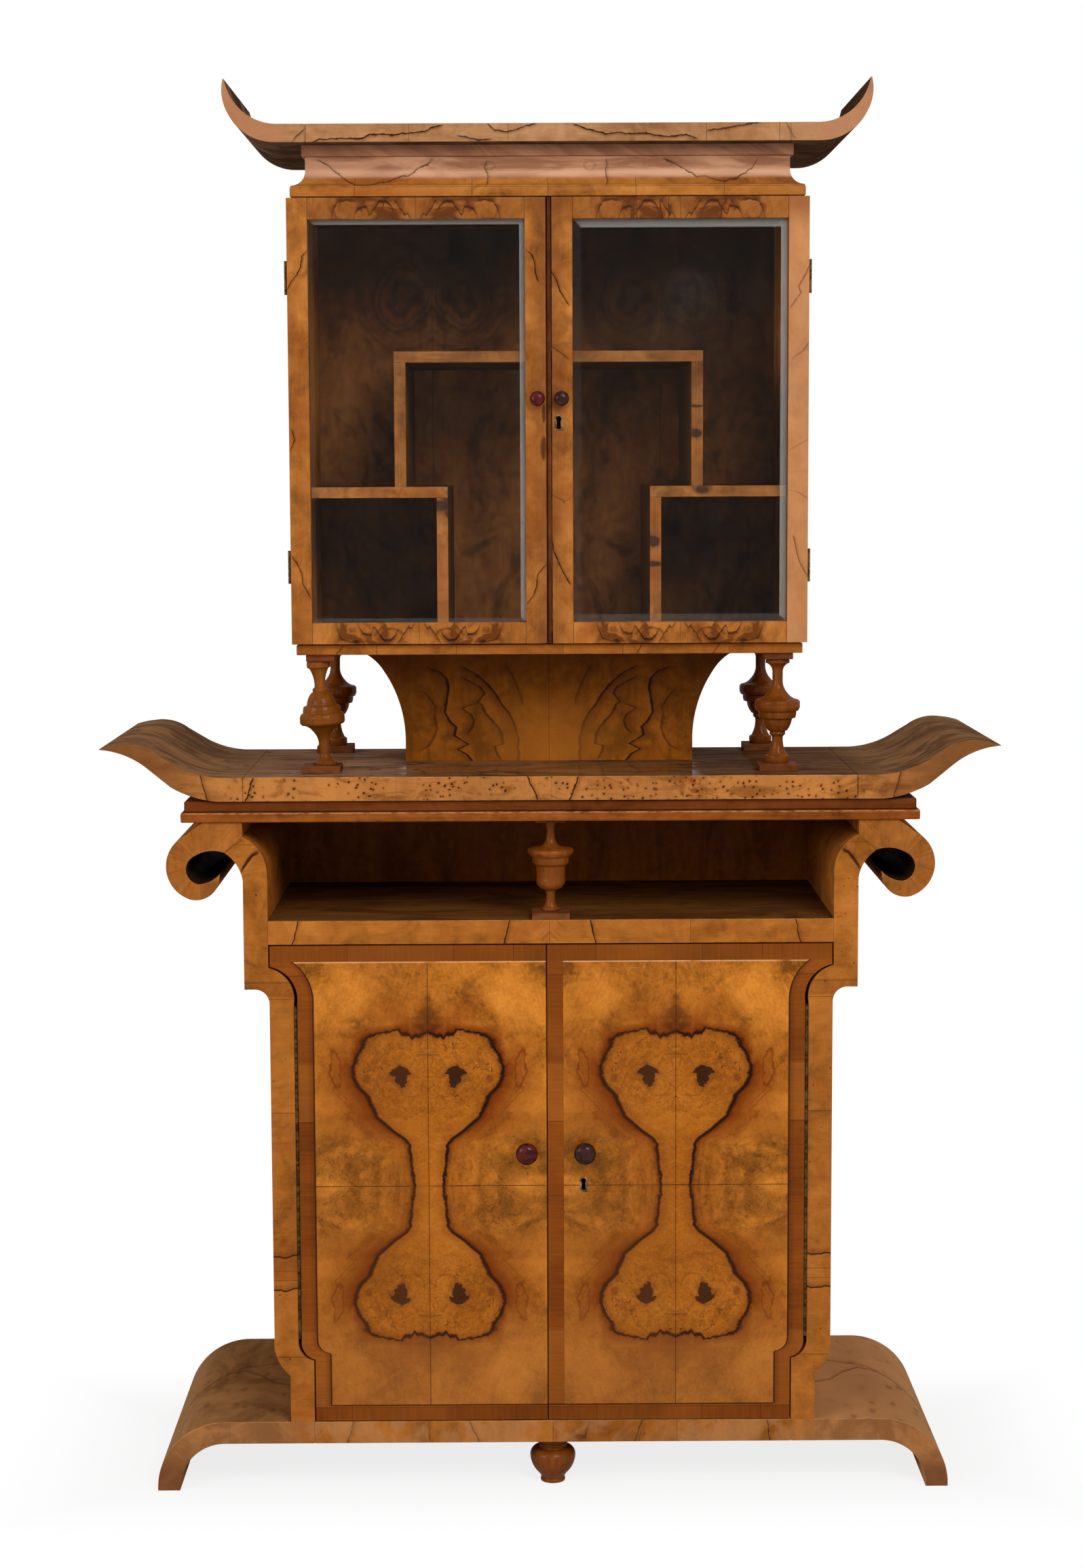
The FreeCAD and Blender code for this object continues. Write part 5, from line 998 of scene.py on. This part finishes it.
# Upper doors: frames of full-height stiles and rails between them. The stiles show long fine
# veins; each rail is mottled dark, the pattern mirrored about the rail's middle.
STILE_WIDTH = 0.031
RAIL_VEINS = [
    (0.75, [(8, 30), (12, 24), (16, 26), (20, 19), (25, 13), (27, 9), (32, 2)]),
    (1.0, [(33, 20), (37, 11), (40, 8), (46, 6), (53, 6), (58, 12), (66, 24), (69, 27), (72, 14), (79, 15),
           (85, 17), (89, 24), (91, 31)]),
    (0.85, [(90, 4), (101, 4), (111, 5), (116, 8), (120, 17), (123, 25), (124, 31)]),
]
STILE_VEINS = {
    "left": [
        (0.9, [(1823, -385), (1834, -380), (1844, -371), (1855, -366), (1871, -363), (1878, -357)]),
        (0.8, [(1367, -357), (1373, -360), (1390, -369), (1404, -370), (1421, -378), (1431, -386)]),
        (1.0, [(1833, -15), (1845, -19), (1861, -20), (1872, -25), (1878, -33)]),
        (0.8, [(1357, -34), (1370, -24), (1382, -19), (1400, -18), (1415, -6)]),
        (0.8, [(1586, -384), (1602, -378), (1617, -382)]),
    ],
    "right": [
        (1.0, [(1386, 31), (1403, 21), (1418, 14), (1437, 6), (1452, 4)]),
        (0.9, [(1509, 22), (1513, 16), (1519, 4)]),
        (0.8, [(1509, 21), (1513, 30)]),
        (0.5, [(1397, 385), (1417, 374), (1432, 370), (1457, 364)]),
        (0.45, [(1513, 384), (1522, 370), (1525, 356)]),
        (0.3, [(1583, 356), (1600, 385)]),
        (0.5, [(1794, 358), (1815, 373), (1825, 370), (1842, 380), (1856, 386)]),
        (0.45, [(1719, 361), (1731, 378), (1743, 386)]),
        (1.0, [(1798, 30), (1817, 18), (1834, 12), (1849, 4)]),
        (0.9, [(1721, 28), (1731, 14), (1738, 5)]),
    ],
}


def frame_veneer(name, middle, half_opening, low, high, stile_veins):
    """Stile veneer beyond the opening's sides and mottled rail veneer between them."""

    def paint(plain, x, y, z):
        yield rise(noise(x * 4, 0, z * 9, 2), 0.48, 0.62) * 0.35, (0.2, 0.05, 0.008)
        # The right door's outer stile is paler.
        paler_share = noise(x * 18, 0, z * 14, 4, 0.6, 1.0) * 0.8 + 0.15
        yield rise(x, 0.354, 0.356) * paler_share, (0.52, 0.25, 0.115)
        yield rise(z, 1.9, 1.95) * rise(x, -0.05, 0.0) * 0.6, (0.19, 0.055, 0.013)
        yield rise(abs(x), 0.033, 0.008) * 0.4, (0.1, 0.035, 0.014)
        wobble = (noise(x * 150, 0, z * 90, 3) - 0.5) * 2.4
        for place, half_size in (((-8, 1590), (4, 16)), ((-7, 1640), (3, 12))):
            burr = oval(x * MM, z * MM, place, half_size, wobble)
            yield rise(burr, 1.8, 0.5) * 0.8, (0.05, 0.014, 0.005)
        yield from drawn_veins(z * MM, x * MM, stile_veins, 1.3, 4.0)
        side, from_edge = abs(x - middle) * MM, (high - low) / 2 * MM - abs(z - (high + low) / 2) * MM
        upper = rise(z, low, high)
        blot = noise(side * 0.03 + upper * 3.1, 0, from_edge * 0.04, 4, 0.6, 1.4)
        band = rise(side, 12, 30) * rise(side, 135, 115)
        yield rise(side, half_opening + 0.3, half_opening - 0.3), laid(plain, [
            (rise(blot, 0.4, 0.6) * band * 0.85, (0.085, 0.02, 0.004)),
            *drawn_veins(side, from_edge, RAIL_VEINS, 2.6, -5.5, 7.0),
            (rise(blot, 0.62, 0.3) * band * 0.25, (0.3, 0.085, 0.012)),
            (upper * 0.3, (0.075, 0.024, 0.01)),
            (rise(side, 0.8, 0.3) * 0.5, (0.08, 0.024, 0.006))])
        yield rise(abs(side - half_opening), 0.8, 0.2) * 0.8, (0.06, 0.018, 0.005)
        yield worn_and_highlit_rim(x, y, z, UPPER_FRONT, 0.35)

    return walnut(name, UPRIGHT, FRAME_TONES, 19.5 + middle, (9, 12), veins=0.12, vein_scale=(3.0, 14),
                  paint=paint)


FRAME_TONES = ((0.15, 0.046, 0.009), (0.32, 0.108, 0.02), (0.47, 0.175, 0.038))
for side, stile_veins in STILE_VEINS.items():
    name = f"upper_door_{side}_frame"
    low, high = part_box(name)
    half_opening = ((high[0] - low[0]) / 2 - STILE_WIDTH) * MM
    frame_wood = frame_veneer(f"frame_veneer_{side}", (low[0] + high[0]) / 2, half_opening, low[2], high[2],
                              stile_veins)
    softened(name, frame_wood, 0.0012, f"upper_{side}")

STRIP_TONES = ((0.03, 0.008, 0.003), (0.08, 0.02, 0.006), (0.14, 0.04, 0.012))
strip_wood = walnut("strip_wood", UPRIGHT, STRIP_TONES, 20.3, (6, 60), veins=0.0)
softened("astragal", strip_wood, 0.0006, "upper_left")

# Glass: two sheets with a ground bevel along every side, clear and slightly smeared. The bevel is
# faintly frosted, with a painted reflection along the top and the right side, and wider on the right door.


def mixed(material, others):
    """Mixes the material's shader with others, each given with the share that it takes."""
    tree = material.node_tree
    shader = Wire(tree, tree.nodes["Principled BSDF"].outputs[0])
    for share, other in others:
        shader = share.node("ShaderNodeMixShader", {}, {0: share, 1: shader, 2: other})
    tree.links.new(shader.socket, tree.nodes["Material Output"].inputs[0])
    return material


def old_glass(name, left, right, low, high, bevel):
    """Clear glass, faintly frosted in the bevel; the bevels meet in a mitre at the corners.

    The top and right bevels are turned pale: a painted reflection.
    """
    material, x, y, z = new_material(name)
    smear = noise(x * 9, 0, z * 5, 4, 0.6)
    tint = blend(smear, (0.84, 0.86, 0.84), (0.9, 0.92, 0.9))
    shade(material, tint, smear * 0.008, Transmission_Weight=1.0, IOR=1.05, Specular_IOR_Level=0.0)
    from_left, from_right, from_low, from_high = x - left, right - x, z - low, high - z
    width = min(bevel, 0.01)
    # Painted reflection: the top and right bevels take a pale grey layer, the left and bottom ones only a
    # little.
    top = rise(from_high, bevel + 0.0005, bevel) * rise(from_left - from_high, 0.0, 0.0006)
    side = rise(from_right, width + 0.0005, width) * rise(from_low - from_right, 0.0, 0.0006)
    others = rise(from_left, bevel, bevel - 0.001) * 0.08 + rise(from_low, bevel, bevel - 0.001) * 0.2
    haze = rise(noise(x * 7, 0, z * 7, 4, 0.6), 0.55, 0.75) * rise(from_high, 0.3, 0.05) * 0.004
    frost_and_reflection = top.math("MAXIMUM", top, side.math("MAXIMUM", side * 1.15, others)) * 0.08 + haze + 0.0025
    ground = x.node("ShaderNodeBsdfDiffuse", {}, {"Color": (0.8, 0.77, 0.72, 1)})
    clear = x.node("ShaderNodeBsdfTransparent", {}, {"Color": (0.8, 0.82, 0.8, 1)})
    shadow_ray = x.node("ShaderNodeLightPath", output="Is Shadow Ray")
    return mixed(material, [(frost_and_reflection, ground), (shadow_ray, clear)])


for side, bevel in (("left", 0.0075), ("right", 0.0125)):
    low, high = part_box(f"upper_door_{side}_frame")
    opening = [low[0] + STILE_WIDTH, high[0] - STILE_WIDTH, low[2] + STILE_WIDTH, high[2] - STILE_WIDTH]
    pane = nodes[f"upper_glass_{side}"].data
    pane.materials.clear()
    pane.materials.append(old_glass(f"old_glass_{side}", *opening, bevel))

# Cornice: two fillets with a hollow cove between them, in honey and rose-brown veneer joined in
# long leaves, with thin winding veins.
CORNICE_FRONT = -0.1586
HOLLOW_FOOT, PAINTED_SHEEN_LINE, FILLET_FOOT = 1.983, 1.993, 2.0172
COVE_VEINS = [
    (0.75, [(-340, 2012), (-324, 2005), (-319, 1999), (-308, 1991), (-298, 1982), (-282, 1974),
            (-263, 1974), (-247, 1979), (-231, 1981), (-222, 1987), (-203, 1990), (-190, 2001),
            (-177, 2006), (-171, 2012)]),
    (0.75, [(172, 2012), (186, 2007), (199, 1999), (213, 1992), (220, 1987), (234, 1987), (251, 1980),
            (262, 1979), (279, 1984), (289, 1989), (303, 1999), (310, 2011)]),
]
COVE_UPRIGHTS = [
    (0.6, [(1974, -91), (1988, -88), (2000, -93), (2011, -91)]),
    (0.6, [(1974, 86), (1980, 88), (1998, 86), (2012, 87)]),
]


def cornice_paint(plain, x, y, z):
    """Leaves joined along the cornice; the hollow is rosy with a painted pale sheen, the foot orange."""
    yield from joints(x, [-0.285, -0.112, 0.0, 0.13, 0.26], 0.06)
    cloud = noise(x * 7, 0, z * 30, 4, 0.6, 0.8)
    rose = blend(rise(cloud, 0.36, 0.64), (0.23, 0.1, 0.055), (0.46, 0.24, 0.14))
    yield rise(z, HOLLOW_FOOT, HOLLOW_FOOT + 0.007) * 0.88, rose
    # Painted highlight: a pale sheen along the middle of the hollow.
    yield rise(abs(z - PAINTED_SHEEN_LINE), 0.009, 0.001) * (cloud * 0.7 + 0.2), (0.62, 0.35, 0.21)
    patch = rise(noise(x * 9 + z * 14, 0, z * 6, 5, 0.68, 1.0), 0.36, 0.64)
    dull = blend(patch, (0.36, 0.16, 0.08), (0.2, 0.08, 0.042))
    yield rise(z, FILLET_FOOT, FILLET_FOOT + 0.001) * 0.9, dull
    across, up = x * MM, z * MM
    yield from drawn_veins(across, up, COVE_VEINS, 1.2, 4.0, 8.0)
    yield from drawn_veins(up, across, COVE_UPRIGHTS, 1.2, 5.0, 6.0)
    wobble = (noise(x * 90, 0, z * 90, 2) - 0.5) * 1.5
    for place in (-87, 62):
        knot = oval(across, up, (place, 2004), (9, 6), wobble)
        yield rise(abs(knot - 1.0), 0.7, 0.1) * 0.35, (0.14, 0.055, 0.03)
    yield worn_and_highlit_rim(x, y, z, CORNICE_FRONT, 0.3)


CORNICE_TONES = ((0.12, 0.038, 0.009), (0.33, 0.115, 0.021), (0.47, 0.18, 0.04))
cornice_veneer = walnut("cornice_veneer", SIDEWAYS, CORNICE_TONES, 24.2, (3, 10), veins=0.25,
                        vein_scale=(3.2, 9), paint=cornice_paint)
softened("cornice_fillets", cornice_veneer, 0.0015)
softened("cornice_cove", cornice_veneer)

# Roof: a straight board with an up-swept horn at each end, veneered along its edge with dull honey
# walnut full of long winding veins; the undersides of the horns are painted nearly black as shade.
ROOF_FRONT = -0.1736
ROOF_VEINS = [
    (0.8, [(-376, 2034), (-370, 2042), (-363, 2048), (-356, 2054)]),
    (1.0, [(-344, 2035), (-333, 2040), (-328, 2038), (-316, 2040), (-290, 2040), (-271, 2040),
           (-262, 2045), (-243, 2046), (-227, 2044), (-214, 2047), (-195, 2048), (-180, 2050),
           (-167, 2056), (-154, 2059)]),
    (0.9, [(-88, 2060), (-78, 2052), (-69, 2050), (-58, 2049), (-46, 2052), (-34, 2057), (-18, 2060)]),
    (0.9, [(-132, 2044), (-119, 2041), (-103, 2037), (-84, 2038)]),
    (1.0, [(38, 2060), (52, 2054), (68, 2050), (85, 2045), (102, 2047), (119, 2046), (143, 2046),
           (160, 2043), (177, 2041), (204, 2044), (218, 2038)]),
    (0.9, [(234, 2050), (252, 2052), (266, 2054), (283, 2057), (307, 2061), (314, 2064)]),
    (0.7, [(348, 2064), (355, 2051), (362, 2039)]),
]


def roof_paint(plain, x, y, z):
    """Joints and winding veins along the edge, rosier horns, and dark brown sides behind it.

    The dark behind the edge is painted shade under the horns, with a painted highlight under the left one.
    """
    yield from joints(x, [-0.355, -0.204, -0.058, 0.233, 0.34], 0.07)
    yield from drawn_veins(x * MM, z * MM, ROOF_VEINS, 1.5, -4.0, 5.0)
    yield rise(abs(x), 0.355, 0.42) * 0.6, (0.36, 0.155, 0.075)
    yield worn_and_highlit_rim(x, y, z, ROOF_FRONT, 0.3)
    streak = noise(x * 14, y * 12, z * 14, 4, 0.6, 0.8)
    # Painted shade: near black behind the edge, darker under the right horn; a painted highlight lies under
    # the left horn.
    under = laid(blend(rise(streak, 0.35, 0.65), (0.05, 0.026, 0.015), (0.12, 0.064, 0.038)), [
        (rise(x, 0.35, 0.5) * 0.75, (0.045, 0.02, 0.01)),
        (rise(x, -0.35, -0.5) * rise(streak, 0.4, 0.6) * 0.5, (0.2, 0.13, 0.09))])
    yield rise(y, ROOF_FRONT + 0.0008, ROOF_FRONT + 0.002) * 0.97, under


def roof_polish(x, y, z):
    """Thin varnish on the edge and none behind it."""
    edge = rise(y, ROOF_FRONT + 0.0018, ROOF_FRONT + 0.0008)
    return edge * (noise(x * 20, y * 20, z * 20, 2) * 0.04 + 0.03)


ROOF_TONES = ((0.2, 0.083, 0.032), (0.345, 0.167, 0.071), (0.46, 0.24, 0.115))
roof_veneer = walnut("roof_veneer", SIDEWAYS, ROOF_TONES, 26.7, (3, 10), veins=0.3,
                     vein_scale=(3.0, 10), flush=0.25, paint=roof_paint, polish=roof_polish)
softened("roof_board", roof_veneer, 0.0015)
softened("roof_horns", roof_veneer, 0.0015)

# Camera, floor and light: the photograph's view, on a plain white floor under soft light.
SENSOR, FOCAL_PIXELS, PHOTO_HEIGHT = 36, 4200, 2311
YAW, PITCH, ROLL = -0.0054, 0.1113, 0.0043
camera_data = bpy.data.cameras.new("camera")
camera_data.sensor_width = SENSOR
camera_data.lens = SENSOR * FOCAL_PIXELS / PHOTO_HEIGHT
camera_data.clip_end = 60
camera = bpy.data.objects.new("camera", camera_data)
bpy.context.scene.collection.objects.link(camera)
camera.location = (-0.0362, -4.4291, 1.5626)
camera.rotation_euler = (Matrix.Rotation(YAW, 3, "Z") @ Matrix.Rotation(math.pi / 2 - PITCH, 3, "X")
                         @ Matrix.Rotation(-ROLL, 3, "Z")).to_euler()
bpy.context.scene.camera = camera


def looked_at(wire):
    """1 on rays from the camera, off polish or through glass, and 0 on those that only carry light."""
    seen, gloss, through = [wire.node("ShaderNodeLightPath", output=f"Is {kind} Ray")
                            for kind in ("Camera", "Glossy", "Transmission")]
    return wire.math("MAXIMUM", seen, wire.math("MAXIMUM", gloss, through))


REACH = 14.0
floor_mesh = bpy.data.meshes.new("floor")
floor_corners = [(-REACH, -REACH, 0), (REACH, -REACH, 0), (REACH, REACH, 0), (-REACH, REACH, 0)]
floor_mesh.from_pydata(floor_corners, [], [(0, 1, 2, 3)])
floor = bpy.data.objects.new("floor", floor_mesh)
bpy.context.scene.collection.objects.link(floor)
floor_material, x, y, z = new_material("floor")
shade(floor_material, None, None, Base_Color=(0.8, 0.8, 0.8, 1), Roughness=0.9, Specular_IOR_Level=0.0)
far = rise(x.math("MAXIMUM", abs(x) - 0.6, abs(y) - 0.12), 0.02, 0.3)
floor_glow = (far * 0.18 + 0.82) * looked_at(x)
floor_mesh.materials.append(mixed(floor_material, [(floor_glow, x.node("ShaderNodeEmission"))]))

FILL = 0.45
world = bpy.data.worlds.new("studio")
bpy.context.scene.world = world
world.use_nodes = True
background = world.node_tree.nodes["Background"]
background.inputs["Color"].default_value = (1, 1, 1, 1)
strength = looked_at(Wire(world.node_tree)) * (1 - FILL) + FILL
world.node_tree.links.new(strength.socket, background.inputs["Strength"])


def softbox(name, place, target, size, watts):
    """Square area lamp at a place, turned to a target."""
    lamp_data = bpy.data.lights.new(name, "AREA")
    lamp_data.size = size
    lamp_data.energy = watts
    lamp = bpy.data.objects.new(name, lamp_data)
    lamp.location = place
    lamp.rotation_euler = (Vector(target) - Vector(place)).to_track_quat("-Z", "Y").to_euler()
    bpy.context.scene.collection.objects.link(lamp)


softbox("key_lamp", (1.6, -4.0, 3.8), (0, 0, 1.0), 2.4, 150)
softbox("side_lamp", (-3.4, -2.8, 2.4), (0, 0, 1.1), 2.0, 70)
bpy.context.scene.view_settings.view_transform = "Standard"
